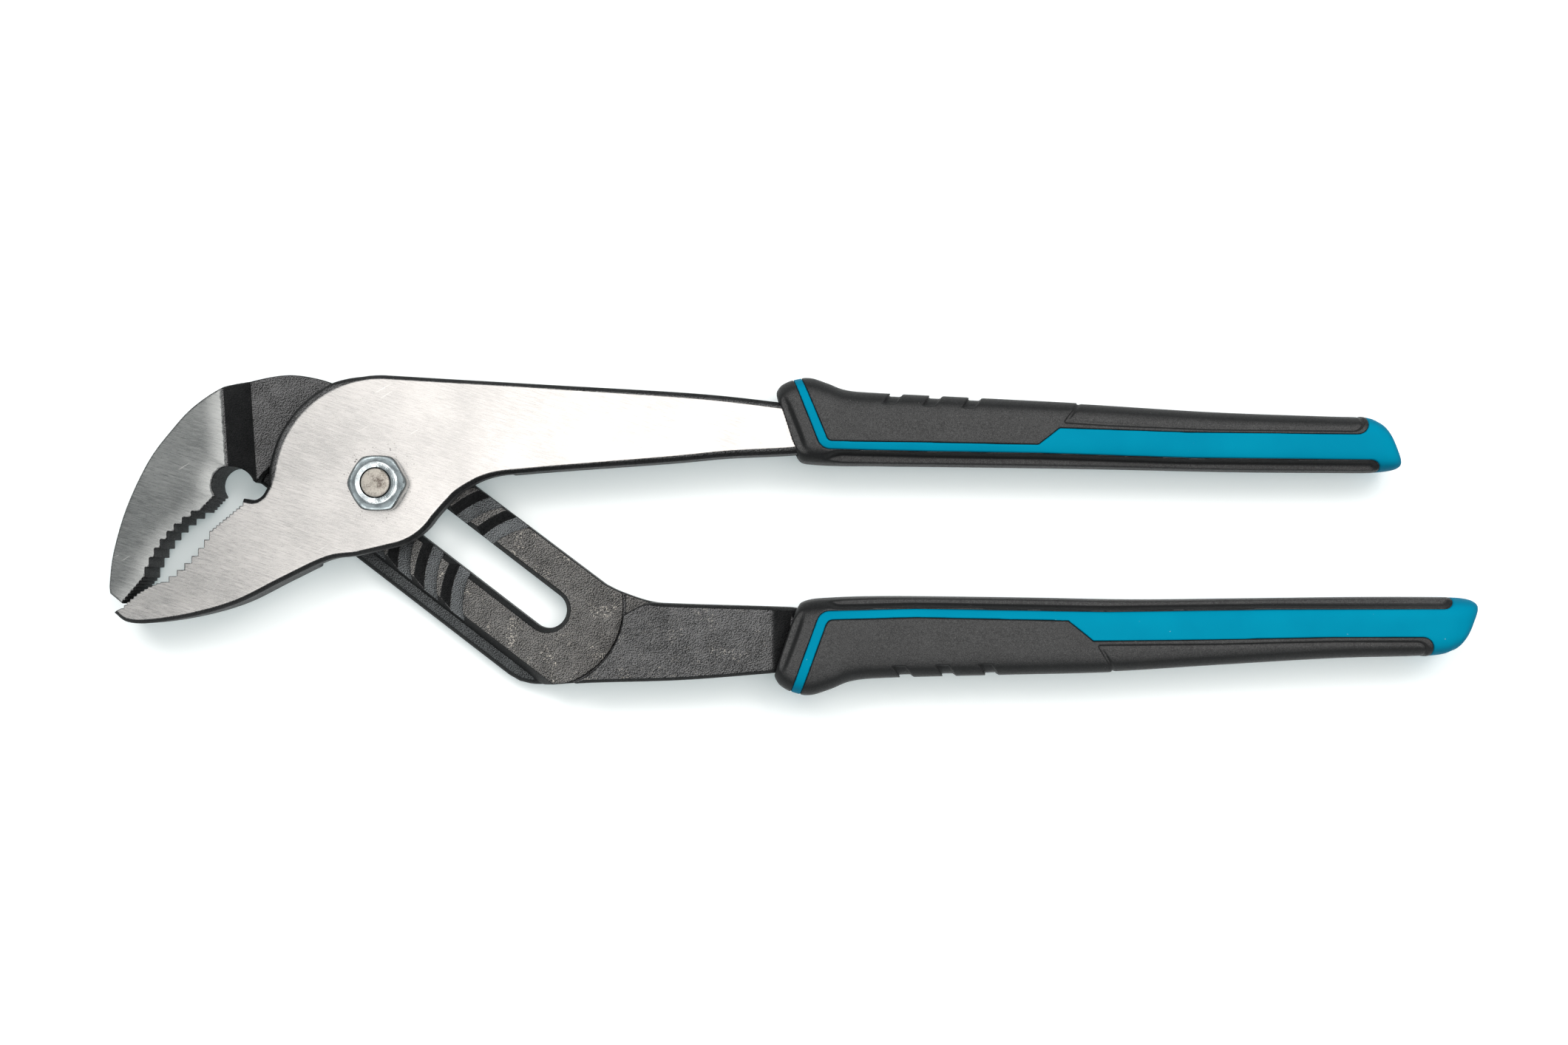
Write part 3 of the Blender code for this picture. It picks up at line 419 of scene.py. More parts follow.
def makeRearLever():
    # Blank less the room for the hub, then less ledge, grooves, slot, throat and teeth
    s = rearLever
    stops = xs, ys, _ = [gridLine(row) for row in s.grid]
    x, y, z = np.ix_(*stops)
    body = rearBlankField(*stops)
    # Room in front of the plate, from the sloped step of the jaw to the arc before the raised shank
    outline = frontOutline()
    angle = np.degrees(np.arctan2(outline[:, 1], outline[:, 0]))
    swept = (angle > s.sweptArc[0] - frontLever.openAngle) & (angle < s.sweptArc[1])
    reach = np.hypot(*outline[swept].T).max() + frontLever.draft + fits.clearance
    lean = radians(s.stepLean)
    stepWay = np.array([cos(lean), sin(lean)])
    stepFoot = -(frontLever.hubTop + s.stepSpace)
    rise = levels.front - levels.joint
    ahead = x * stepWay[0] + y * stepWay[1]
    step = (stepFoot - s.stepRun * (z - levels.joint) / rise) * cos(lean) - ahead
    back, wide = -80, 50
    arc = np.vstack([[slotPoint(back, wide)], [slotPoint(travel, wide)],
                     arcPoints(lastPivot, reach, slotLine.angle - 90, slotLine.angle + 60, 60),
                     [slotPoint(travel, -wide)], [slotPoint(back, -wide)]])
    hub = edgeField(lastPivot + outline, xs, ys) - frontLever.draft - fits.clearance
    plan = np.maximum(edgeField(arc, xs, ys), step * rise / hypot(rise, s.stepRun))
    plan = np.minimum(plan, hub)
    body = cutAway(body, np.maximum(plan, levels.joint - z), 0.45)
    # Fine relief line at the foot of the arc
    fromLast = (x - lastPivot[0]) * along[0] + (y - lastPivot[1]) * along[1]
    rho = np.hypot(x - lastPivot[0], y - lastPivot[1])
    tube = np.hypot(rho - reach + s.reliefInset, z - levels.joint) - s.reliefLine
    body = cutAway(body, np.maximum(tube, -fromLast), 0.08)
    # Lowered ledge along the left edge, then the grooves, each about its own pivot position
    t, d = x * along[0] + y * along[1], x * leftward[0] + y * leftward[1]
    low = levels.joint - s.ledgeDepth
    foot = s.landEdge + s.ledgeSlope * (1 - (z - low) / s.ledgeDepth)
    ledge = keepBoth(np.maximum(foot - d, s.ledgeStart - t), low - z + 0 * x, 0.3)
    body = cutAway(body, ledge, 0.15)
    worn = keepBoth(edgeField(rearOutline(), xs, ys), z - low, s.ledgeRound)
    onLedge = (d > s.landEdge + s.ledgeSlope) & (t > s.ledgeStart)
    body = np.maximum(body, np.where(onLedge, worn, -9))
    floor = levels.joint - s.grooveDepth
    grooves = np.full(body.shape, 9.0, np.float32)
    for index in range(slotLine.positions):
        center = along * slotLine.pitch * index
        rho = np.hypot(x - center[0], y - center[1])
        near = frontLever.grooveRadius
        far = near + s.grooveFloor + s.grooveSlope * (z - floor) / s.grooveDepth
        ring = np.maximum(near - rho, (rho - far) * s.groovePull)
        behind = (x - center[0]) * along[0] + (y - center[1]) * along[1] + s.grooveBack
        grooves = np.minimum(grooves, keepBoth(np.maximum(ring, behind), floor - z, 0.15))
    body = cutAway(body, grooves, 0.1)
    # Slot with a flared front edge, throat and teeth
    nearest = np.clip(t, -slotLine.overrun, travel + slotLine.overrun)
    flare = s.slotBevel * np.clip((z - floor) / s.grooveDepth, 0, 1.3)
    body = cutAway(body, np.hypot(t - nearest, d) - slotLine.halfWidth - flare, 0.12)
    throat = np.hypot(x - s.throatCenter[0], y - s.throatCenter[1]) - s.throatRadius
    body = cutAway(body, throat, 0.12)
    body = cutAway(body, mouthField(s, xs, ys), 0.06)
    # The polished face of the jaw rolls over towards the step, the throat and the teeth
    stepEdge = (stepFoot - s.stepRun) * cos(lean) - ahead
    gum = mouthField(s, xs, ys, finer=s.gumPitch)
    rim = np.minimum(np.minimum(stepEdge, gum), throat)
    roll = s.faceRoll * np.clip(1 - rim / s.rollWidth, 0, 1) ** 2
    body = np.where(x < s.rollEnd, keepBoth(body, z - levels.front + roll, 0.05), body)
    return pieceFromField("rearLeverForging", body, stops, s.triangles)


# Pivot bolt and nut
pivot = Settings(
    head=8, headHeight=2.1, headFlat=1.1, headRound=0.7, headTaper=0.1,
    neckFlat=2, neck=3.7, neckSpare=0.3, shank=4, end=3.08, boltSides=128,
    endRise=0.3, endRound=0.3, endCrown=0.12, crownShares=(0.85, 0.6, 0.3, 0),
    nutFlats=6, nutHeight=5.2, nutTop=4.5, dome=2.3, corner=6.46, nutBase=14.7,
    nutSides=192, boreGap=0.17, softness=26, sharpAngle=35,
)


def closedLoft(name, rings):
    # Grid of rings, each a closed row of points; the ends are pulled together into poles by merging
    rows, count = len(rings), len(rings[0])
    n = np.arange(rows - 1)[:, None] * count
    i = np.arange(count)[None, :]
    j = (i + 1) % count
    faces = np.stack([n + i, n + j, n + count + j, n + count + i], -1).reshape(-1, 4)
    mesh = newMesh(name, np.vstack(rings) * mm, faces)
    work = bmesh.new()
    work.from_mesh(mesh)
    bmesh.ops.remove_doubles(work, verts=work.verts[:], dist=1e-6)
    bmesh.ops.recalc_face_normals(work, faces=work.faces[:])
    work.to_mesh(mesh)
    work.free()
    mesh.shade_smooth()
    mesh.set_sharp_from_angle(angle=radians(pivot.sharpAngle))
    print("made", name, len(mesh.polygons), "faces")
    return linked(name, mesh)


def makePivotBolt():
    # Turned profile; the neck ring is pulled apart along the slot so that it has two flats
    s = pivot
    count, bend, crown = s.boltSides, s.headRound, s.endRound
    turn = np.radians(slotLine.angle + (np.arange(count) + 0.5) * 360 / count)
    unit = np.column_stack([np.cos(turn), np.sin(turn)])
    apart = np.sign(unit @ along)[:, None] * along * s.neckFlat / 2
    quarter = np.linspace(0, np.pi / 2, 6)
    top = s.nutBase + s.nutHeight + s.endRise
    shoulder = top - (crown + s.endCrown)
    profile = [(0, 0, 0), (s.head - s.headFlat, 0, 0)]
    profile += [(s.head - bend + bend * sin(q), bend - bend * cos(q), 0) for q in quarter]
    profile += [(s.head - s.headTaper, s.headHeight, 0), (s.neck, s.headHeight, 1)]
    profile += [(s.neck, levels.joint - s.neckSpare, 1), (s.shank, levels.hub, 0)]
    profile += [(s.shank, levels.front, 0), (s.end, levels.front, 0)]
    profile += [(s.end - crown + crown * cos(q), shoulder + crown * sin(q), 0) for q in quarter]
    profile += [(s.end * share, top - s.endCrown * share**2, 0) for share in s.crownShares]
    rings = [np.column_stack([unit * r + apart * flat, np.full(count, z)]) for r, z, flat in profile]
    return closedLoft("pivotBoltTurned", rings)


def makePivotNut():
    # At each height the smaller of the hexagon and a turned dome, blended as the root of the sum of high
    # negative powers; then the top ring and the bore
    s = pivot
    count = s.nutSides
    turn = np.linspace(0, 2 * np.pi, count, endpoint=False)
    unit = np.column_stack([np.cos(turn), np.sin(turn)])
    six = (turn + np.pi / 6) % (np.pi / 3) - np.pi / 6
    flats = s.nutFlats / np.cos(np.pi / 6 - np.abs(six))

    def smaller(r):
        return (flats ** -s.softness + r ** -s.softness) ** (-1 / s.softness)

    rim = smaller(s.corner)
    base, top = s.nutBase, s.nutBase + s.nutHeight
    bore = s.end + s.boreGap
    rings = [(np.full(count, bore), base), (rim - 0.2, base), (rim, base + 0.25)]
    for q in np.linspace(0, 1, 22):
        turned = s.nutTop + (s.corner - s.nutTop) * (1 - q**1.6) ** 0.8
        rings.append((smaller(turned), top - s.dome * (1 - q)))
    topRings = [(s.nutTop - 0.25, 0), (bore + 0.5, 0.02), (bore + 0.12, 0.1), (bore, 0.35)]
    rings += [(np.full(count, r), top - drop) for r, drop in topRings] + rings[:1]
    rings = [np.column_stack([unit * r[:, None], np.full(count, z)]) for r, z in rings]
    return closedLoft("pivotNutPlated", rings)


# Handle grips: sections from mouth to end give outer edge x, y, inner edge x, y and half thickness
upperGrip = Settings(
    sections=[(85.8, 20.2, 90.6, 5.5, 7.4), (87.2, 21.9, 91.8, 4.7, 8.1), (90.1, 23.1, 94, 4.4, 8.3),
        (93.4, 23.4, 97.4, 4.2, 8.3), (97.2, 22.2, 101.5, 4.1, 8.2), (101, 20.8, 106, 4.1, 8),
        (107, 20.2, 113, 4, 7.9), (125, 19.3, 131, 3.8, 7.9), (152, 17.9, 157, 3.4, 7.8),
        (181, 16.1, 185, 2.8, 7.6), (205, 15.2, 209, 2.6, 7.4), (214, 14.9, 216.5, 2.6, 7.2),
        (217.4, 13.8, 220.2, 2.9, 6.6), (219.4, 12.1, 222.1, 3.6, 5.4), (220.4, 10.4, 222.8, 4.8, 3.6)],
    collar=[(89.9, 22.1), (95.67, 7.54, 2.9), (118.7, 7), (143.6, 6.6), (174.8, 5.6), (217.1, 5.16, 2.3),
        (217.1, 2.8)],
    pad=[(91.7, 22.4), (97.18, 9.21, 1.3), (118.7, 8.9), (142.6, 8.4), (147.2, 12), (174.8, 11.1),
        (214.4, 10.67, 2.6), (214.4, 13.9)],
    panel=[(154.5, 21), (151.7, 17.3), (148.6, 13.4), (158.1, 12.8), (180.2, 11.9), (213.1, 11.57, 2.4),
        (213.1, 21)],
    notches=[109, 117.6, 126.2], corner=94.5,
    origin=(0.0, 0.0), side=1.0,
)
lowerGrip = Settings(
    sections=[(50.6, 15.2, 55.7, 0.1, 7.4), (52, 17.3, 56.8, -1, 8.1), (55, 18.9, 59.2, -1.7, 8.3),
        (58.6, 19.4, 63, -2, 8.3), (63, 18.1, 67.6, -2.2, 8.2), (67.8, 16.3, 73, -2.3, 8),
        (76, 15.6, 82, -2.3, 7.9), (100, 15, 106, -2, 7.9), (124, 14.4, 129, -1.6, 7.8),
        (147, 13, 151, -1.8, 7.7), (173, 11.5, 177, -2.1, 7.5), (193, 10.9, 196, -2.1, 7.3),
        (198.4, 9.8, 201.2, -1.9, 6.7), (200.8, 8, 203.6, -1.1, 5.5), (202.1, 6.1, 204.6, 0.2, 3.7)],
    collar=[(54.4, 18.2), (60.72, 0.92, 2.9), (81.4, 0.4), (122.8, 1.1), (158, 0.6), (198, 0.51, 2.3),
        (198, -1.9)],
    pad=[(56.5, 18.7), (62.29, 2.8, 1.7), (81.4, 2.3), (114.2, 3), (119.6, 7.4), (145.4, 7.1), (171, 6.6),
        (193.4, 6.6, 2.6), (193.4, 10.3)],
    panel=[(127, 18), (124.5, 14), (121, 8.6), (145.6, 8.4), (171.4, 7.8), (191.9, 7.8, 2.2), (191.9, 18)],
    notches=[76.3, 85.6, 94.9], corner=59.6,
    origin=tuple(lastPivot), side=-1.0,
)
gripMould = Settings(
    squareness=3.0, skin=2.0, seam=0.03, coreSink=0.06, edge=0.16, grid=0.25, inset=0.04,
    notchWidth=2.8, notchLength=2.7, notchLean=2.1, notchDepth=0.6,
    panelSink=0.16, lineWidth=0.42, lineDepth=0.36, shoulderWidth=1.6, shoulderDrop=3.1,
    mouthBand=2.4, mouthDrop=0.9, mouthTall=8.2, seamShare=0.92, swingLead=3, swingRun=9,
    lipRise=0.15, lipLead=0.25, lipWall=0.8, lipRound=0.4, mouthRound=0.5, endRound=0.9,
    margin=1.5, zRange=(-0.9, 17.5), beyond=50, runOn=14, solverSteps=12,
    coreTriangles=80000, collarTriangles=70000, padTriangles=90000,
)


class GripFields:
    # Fields of one grip on its own grid: the rounded body, the soft regions and the hollow for the lever

    def __init__(self, table, blankField):
        m = gripMould
        self.table = table
        self.sections = np.array(table.sections, float)
        low = self.sections[:, [0, 3]].min(0) - m.margin
        high = self.sections[:, [2, 1]].max(0) + m.margin
        ends = self.placed([low, high])
        spans = [*zip(ends.min(0), ends.max(0)), m.zRange]
        self.stops = [gridLine((start, m.grid, stop)) for start, stop in spans]
        self.x, self.y, self.z = np.ix_(*self.stops)
        self.body = self.bodyField()
        self.hollow = blankField(*self.stops) - fits.sleeve
        far = m.beyond
        self.padPlan = self.plan(filleted(table.pad), [(table.pad[-1][0], far)])
        collar = filleted(table.collar)
        self.collarPlan = self.plan(collar, [(collar[-1, 0], -far), (0.0, -far), (0.0, collar[0, 1])])
        self.lip = self.lipField()

    def placed(self, points):
        # From the grip's place to the tool's: y times the side, plus the origin
        return np.array(self.table.origin) + np.array(points) * (1.0, self.table.side)

    def plan(self, line, around):
        # Region bounded by a line, led on past its first point, and by far points
        lead = line[0] + (line[0] - line[1]) * 3
        return self.region(np.vstack([lead, line, around]))

    def region(self, points):
        # Distance to an outline given in the grip's own place
        return edgeField(self.placed(points), *self.stops[:2])

    def bodyField(self):
        # Each grid point finds its own slanted section and its share w across it, by Newton steps;
        # the section is a superellipse, and the field is divided by its slope to read as a distance
        m = gripMould
        dense = curveThrough(self.sections, 10)
        run = m.runOn
        s = np.concatenate([[-run], np.arange(len(dense)), [len(dense) - 1 + run]])
        first, last = dense[:1] - run * (dense[1] - dense[0]), dense[-1:] + run * (dense[-1] - dense[-2])
        dense = np.vstack([first, dense, last])
        middle, half = (dense[:, :2] + dense[:, 2:4]) / 2, (dense[:, :2] - dense[:, 2:4]) / 2
        spot = np.stack(np.meshgrid(*self.stops[:2], indexing="ij"), -1) - self.table.origin
        spot = spot * (1.0, self.table.side)
        at = np.interp(spot[..., 0], middle[:, 0], s)
        w = np.zeros_like(at)

        def cross(a, b):  # Two by two determinant
            return a[..., 0] * b[..., 1] - a[..., 1] * b[..., 0]

        def blend(values, where):  # Straight between the neighbours
            return np.stack([np.interp(where, s, values[:, n]) for n in (0, 1)], -1)

        for _ in range(m.solverSteps):
            c, r = blend(middle, at), blend(half, at)
            slope = (blend(middle, at + 0.5) - blend(middle, at - 0.5)
                     + w[..., None] * (blend(half, at + 0.5) - blend(half, at - 0.5)))
            miss = spot - c - w[..., None] * r
            det = cross(slope, r)
            at = np.clip(at + cross(miss, r) / det, s[0], s[-1])
            w = np.clip(w + cross(slope, miss) / det, -3, 3)
        tall = np.maximum(np.interp(at, s, dense[:, 4]), 0.5)[:, :, None]
        self.localX = spot[..., :1]
        broad = np.where(self.localX < self.table.corner, np.maximum(tall, m.mouthTall), tall)
        self.seamHeight = m.seamShare * broad
        power = m.squareness
        high = np.abs(self.z - levels.grip) / tall
        oval = (np.abs(w[:, :, None]) ** power + high**power) ** (1 / power) - 1
        steep = np.sqrt(sum(part**2 for part in np.gradient(oval, *self.stops)))
        oval = np.clip(oval / np.maximum(steep, 0.02), -8, 8) + m.inset
        body = keepBoth(oval, self.endPlane(0, -1), m.mouthRound)
        return keepBoth(body, self.endPlane(-1, 1), m.endRound).astype(np.float32)

    def lipField(self):
        # A shoulder falls by a smooth step to a flat lip along the edge; it starts off the seam beside
        # the mouth, swings round the corner and follows the seam along the palm
        m = gripMould
        swing = np.clip((self.localX - self.table.corner + m.swingLead) / m.swingRun, 0, 1)
        swing = swing * swing * (3 - 2 * swing)
        t = -self.collarPlan + m.lipLead - m.mouthBand * (1 - swing)
        t = np.clip(t / m.shoulderWidth, 0, 1)
        drop = m.mouthDrop + (m.shoulderDrop - m.mouthDrop) * swing
        return np.abs(self.z - levels.grip) - (self.seamHeight + m.lipRise - drop * t * t * (3 - 2 * t))

    def endPlane(self, index, way):
        # Distance past the slanted plane of a section
        ends = self.placed(self.sections[index, :4].reshape(2, 2))
        run = (ends[1] - ends[0]) / hypot(*(ends[1] - ends[0]))
        normal = np.array([run[1], -run[0]])
        normal = normal * way * np.sign(normal[0])
        return (self.x - ends[0, 0]) * normal[0] + (self.y - ends[0, 1]) * normal[1]

    def made(self, name, field, edge, triangles):
        # One moulding with the hollow for the lever cut away
        return pieceFromField(name, cutAway(field, self.hollow, edge), self.stops, triangles)

    def makeCore(self, name):
        # The body outside pad and collar, a little lower, with a sleeve inside them
        m = gripMould
        outside = cutAway(self.body + m.coreSink, self.padPlan - m.seam, 0.06)
        outside = cutAway(outside, self.collarPlan - m.seam, 0.06)
        core = np.minimum(outside, self.innerBody(m.skin + m.seam))
        return self.made(name, core, 0.1, m.coreTriangles)

    def innerBody(self, inset):
        # The body drawn in, kept clear of the mouth where the collar alone closes the grip
        m = gripMould
        mouth = self.endPlane(2, -1)
        return np.maximum(np.maximum(self.body + inset, self.lip + m.lipWall), mouth + inset - m.skin)

    def makeCollar(self, name):
        # The body under the lip, inside the collar's plan, as a skin round the core
        m = gripMould
        collar = keepBoth(keepBoth(self.body, self.lip, m.lipRound), self.collarPlan, m.edge)
        collar = cutAway(collar, self.innerBody(m.skin), 0.1)
        return self.made(name, collar, 0.15, m.collarTriangles)

    def makePad(self, name):
        # The body inside the pad's plan, less a sunk panel, its line and three slanted notches
        m = gripMould
        panel = self.region(filleted(self.table.panel))
        surface = self.body + m.panelSink * np.clip(0.5 - panel / 0.3, 0, 1)
        pad = keepBoth(surface, self.padPlan, m.edge)
        line = np.abs(panel) - 0.5 * self.body - m.lineWidth
        pad = cutAway(pad, np.maximum(line, -(self.body + m.lineDepth)), 0.05)
        for x in self.table.notches:
            low = np.interp(x, *self.sections[:, :2].T) - m.notchLength
            far, right = m.beyond, x + m.notchWidth
            lean = m.notchLean / m.notchLength * (far - low)
            notch = self.region([(x, low), (right, low), (right + lean, far), (x + lean, far)])
            pad = cutAway(pad, keepBoth(notch, -(self.body + m.notchDepth), 0.25), 0.12)
        pad = cutAway(pad, self.innerBody(m.skin), 0.1)
        return self.made(name, pad, 0.1, m.padTriangles)


# Finishes
class Tone:
    # A value worked out at each spot of a surface; sums and products of tones become nodes

    def __init__(self, tree, socket):
        self.tree, self.socket = tree, socket

    def worked(self, operation, *others):
        # One node that does the named sum on this tone and others or numbers
        parts = dict(enumerate((self, *others)))
        return node(self.tree, "ShaderNodeMath", parts, operation=operation)

    def __add__(self, other):
        return self.worked("ADD", other)

    def __sub__(self, other):
        return self.worked("SUBTRACT", other)

    def __rsub__(self, other):
        return node(self.tree, "ShaderNodeMath", {0: other, 1: self}, operation="SUBTRACT")

    def __mul__(self, other):
        return self.worked("MULTIPLY", other)

    def __abs__(self):
        return self.worked("ABSOLUTE")

    def ramp(self, low, high, toLow=0, toHigh=1):
        # Smooth step from one value to another while this one goes from low to high
        ends = {"Value": self, "From Min": low, "From Max": high, "To Min": toLow, "To Max": toHigh}
        return node(self.tree, "ShaderNodeMapRange", ends, interpolation_type="SMOOTHSTEP")

    def mix(self, low, high):
        # Colour between two: low where this share is nothing, high where it is one
        return node(self.tree, "ShaderNodeMix", {0: self, 6: low, 7: high}, 2, data_type="RGBA")

    def parts(self):
        # The x, y and z of a place or a direction
        return [node(self.tree, "ShaderNodeSeparateXYZ", {0: self}, n) for n in range(3)]


def put(place, value):
    # Joins a tone to a socket, or sets a plain value on it
    if isinstance(value, Tone):
        value.tree.links.new(value.socket, place)
    else:
        place.default_value = (*value, 1) if place.type == "RGBA" else value


def node(tree, kind, inputs, output=0, **options):
    # One node, its options set before its inputs; gives the tone of one output
    made = tree.nodes.new(kind)
    for key, value in options.items():
        setattr(made, key, value)
    for key, value in inputs.items():
        put(made.inputs[key], value)
    return Tone(tree, made.outputs[output])


def newShader(name, fixed):
    # New material with fixed values on the shader's own sockets
    made = bpy.data.materials.new(name)
    made.use_nodes = True
    shader = made.node_tree.nodes["Principled BSDF"]
    for key, value in fixed.items():
        put(shader.inputs[key], value)
    return made, shader


class Finish:
    # A material on the piece's own coordinates, with its place, height and slope at hand

    def __init__(self, name, fixed):
        self.material, self.shader = newShader(name, fixed)
        self.tree = self.material.node_tree
        self.spot = node(self.tree, "ShaderNodeTexCoord", {}, "Object")
        self.x, self.y, self.z = self.spot.parts()
        self.up = node(self.tree, "ShaderNodeNewGeometry", {}, "Normal").parts()[2]
        self.level = abs(self.up)

    def noise(self, scale, detail=2, roughness=0.5, size=(1, 1, 1), turn=0, shift=(0, 0, 0)):
        # Noise set aside by the shift, turned about the vertical and stretched by the size
        place = {"Vector": self.spot, "Location": shift, "Rotation": (0, 0, radians(turn)),
                 "Scale": [1 / part for part in size]}
        place = node(self.tree, "ShaderNodeMapping", place, vector_type="TEXTURE")
        values = {"Vector": place, "Scale": scale, "Detail": detail, "Roughness": roughness}
        return node(self.tree, "ShaderNodeTexNoise", values, "Fac")

    def atHeight(self, height):
        # One within a few hundredths of a millimetre of a level, nothing away from it
        return abs(self.z - height * mm).ramp(0.00012, 0.00004)

    def fromPivot(self):
        # Distance from the pivot's axis: the root of x squared plus y squared
        return (self.x * self.x + self.y * self.y).worked("SQRT")

    def give(self, **tones):
        # Joins each tone to the shader's input of that name
        for key, tone in tones.items():
            put(self.shader.inputs[key.replace("_", " ")], tone)

    def bumps(self, *layers):
        # Chain of bumps, each a height with its strength and depth, the finest last
        before = {}
        for height, strength, depth in layers:
            values = {"Height": height, "Strength": strength, "Distance": depth, **before}
            before = {"Normal": node(self.tree, "ShaderNodeBump", values)}
        self.give(**before)


forgedFinish = Settings(
    fixed={"Specular IOR Level": 0.14},
    # steep is the colour of the painted shade laid on slopes
    skin=(0.003, 0.0033, 0.0036), skinPale=(0.185, 0.185, 0.188), steep=(0.002, 0.0026, 0.003),
    fleck=(0.6, 0.56, 0.5), floorPale=(0.225, 0.24, 0.25), landPale=(0.225, 0.22, 0.214),
    ledgePale=(0.12, 0.128, 0.132), scratch=(0.82, 0.81, 0.79), grease=(0.035, 0.03, 0.028),
    grainTurn=-14, fineGrain=(560, 8600, 560), wideGrain=(210, 3100, 210),
    scratchGrain=(130, 2600, 130), scratchTurn=31, ragged=0.00008,
    # pepperShift sets aside the copy of the grain whose difference paints light and shade on it
    pepper=4200, pepperShift=(-0.00008, 0.00009, 0),
    frontGround=(0.0141, 0.01416), backGround=(0.00252, 0.00246), ledgeSunk=(0.0057, 0.0053),
    raisedTop=(0.0128, 0.0129),
    rear=Settings(steel=(0.34, 0.35, 0.348), steelDark=(0.195, 0.204, 0.204), sparkle=1),
    front=Settings(steel=(0.68, 0.66, 0.645), steelDark=(0.45, 0.442, 0.435), sparkle=0.2),
)


def forgedMaterial(name, lever):
    # Black phosphate skin with painted light and shade on its grain, sparkling where it lies level, and
    # painted shade turning it near black where it is steep; ground bright wherever the surface lies at the
    # level of a face
    f, own = forgedFinish, forgedFinish[lever]
    look = Finish(name, f.fixed)
    # Painted shade: a share that darkens slopes between level and upright, and upright walls a little less
    steep = look.level.ramp(0.93, 0.8) * look.level.ramp(0.02, 0.25, 0.45, 1)
    height = look.z + (look.noise(900, 3, 0.6) - 0.5) * f.ragged
    front, back = height.ramp(*f.frontGround), height.ramp(*f.backGround)
    ground = front.worked("MAXIMUM", back) * look.level.ramp(0.95, 0.988)
    # Ground faces: drawn grain in two widths, cloudy patches, a few scratches
    fine = look.noise(1, 3, 0.65, f.fineGrain, f.grainTurn)
    wide = look.noise(1, 2, 0.5, f.wideGrain, f.grainTurn - 4)
    grain = fine * 0.6 + wide * 0.4
    cloud = look.noise(75)
    scratch = look.noise(1, 1, 0.4, f.scratchGrain, f.scratchTurn).ramp(0.735, 0.76)
    scratch = scratch * look.noise(120, 1).ramp(0.56, 0.64)
    bright = (grain * 0.72 + cloud * 0.28).ramp(0.36, 0.64).mix(own.steelDark, own.steel)
    bright = (scratch * 0.6).mix(bright, f.scratch)
    # Grease specks round the nut
    ring = look.fromPivot()
    near = ring.ramp(0.0064, 0.007) * ring.ramp(0.011, 0.0072)
    speck = look.noise(2400, 2, 0.6).ramp(0.66, 0.72) * near
    bright = (speck * 0.85).mix(bright, f.grease)
    # Black skin: grain with painted light and shade, from the grain against the same grain set aside; bluer
    # groove floors
    pepper = look.noise(f.pepper, 2, 0.6)
    # Painted light and shade on the grain: the grain less a copy set aside, so each grain reads lit on one
    # side and shaded on the other
    grainLightShade = pepper - look.noise(f.pepper, 2, 0.6, shift=f.pepperShift)
    tone = pepper * 0.35 + look.noise(260) * 0.15 + (grainLightShade * 0.75 + 0.25)
    floor = look.atHeight(levels.joint - rearLever.grooveDepth)
    land = look.atHeight(levels.joint) * look.x.ramp(-0.012, 0.004)
    pale = land.mix(floor.mix(f.skinPale, f.floorPale), f.landPale)
    sunk = look.z.ramp(*f.ledgeSunk) * look.up.ramp(0.1, 0.3)
    pale = sunk.mix(pale, f.ledgePale)
    dark = tone.ramp(0.38, 0.64).mix(f.skin, pale)
    # Bright flecks in worn clusters, on the lands and the raised shank
    cells = node(look.tree, "ShaderNodeTexVoronoi", {"Vector": look.spot, "Scale": f.pepper}, "Color")
    dot = node(look.tree, "ShaderNodeSeparateColor", {"Color": cells})
    worn = (look.noise(230).ramp(0.53, 0.7) + 0.12) * own.sparkle
    lift = land + look.z.ramp(*f.raisedTop) * 0.45
    fleck = dot.ramp(0.8, 0.98) * worn * (lift * (1 - steep))
    fleck = fleck.worked("MINIMUM", 1)
    dark = fleck.mix(dark, f.fleck)
    # Painted shade: slopes turned near black
    dark = (steep * 0.9).mix(dark, f.steep)
    groundRough = grain.ramp(0.2, 0.8, 0.2, 0.31) + cloud * 0.05
    skinRough = pepper.ramp(0.2, 0.8, 0.42, 0.6) - fleck * 0.2
    rough = node(look.tree, "ShaderNodeMix", {0: ground, 2: skinRough, 3: groundRough}, data_type="FLOAT")
    metal = ground.worked("MAXIMUM", fleck * 0.7)
    look.give(Base_Color=ground.mix(dark, bright), Roughness=rough, Metallic=metal)
    look.bumps((tone * (1 - ground), 0.9, 0.0002), (grain * ground, 0.25, 0.00003))
    return look.material


zincFinish = Settings(
    plate=(0.62, 0.68, 0.7), dull=(0.36, 0.4, 0.42), end=(0.62, 0.58, 0.52),
    stain=(0.17, 0.14, 0.12), grime=(0.035, 0.042, 0.044), toolMarks=21000,
)


def zincMaterial():
    # Bright plating with a faint blue cast, dulled in patches, turned rings on the top, painted shade
    # darkening the walls
    f = zincFinish
    look = Finish("zincPlate", {"Metallic": 1})
    cloud = look.noise(520, 3, 0.6)
    ring = look.fromPivot() * f.toolMarks
    turned = ring.worked("SINE") * look.z.ramp(0.0196, 0.0199)
    plate = cloud.ramp(0.4, 0.68).mix(f.plate, f.dull)
    # Painted shade: walls that stand up are darkened towards near black
    plate = look.level.ramp(0.62, 0.12).mix(plate, f.grime)
    look.give(Base_Color=plate, Roughness=cloud.ramp(0.3, 0.75, 0.12, 0.32))
    look.bumps((cloud, 0.35, 0.0002), (turned, 0.12, 0.00003), (look.noise(4200), 0.12, 0.00003))
    return look.material


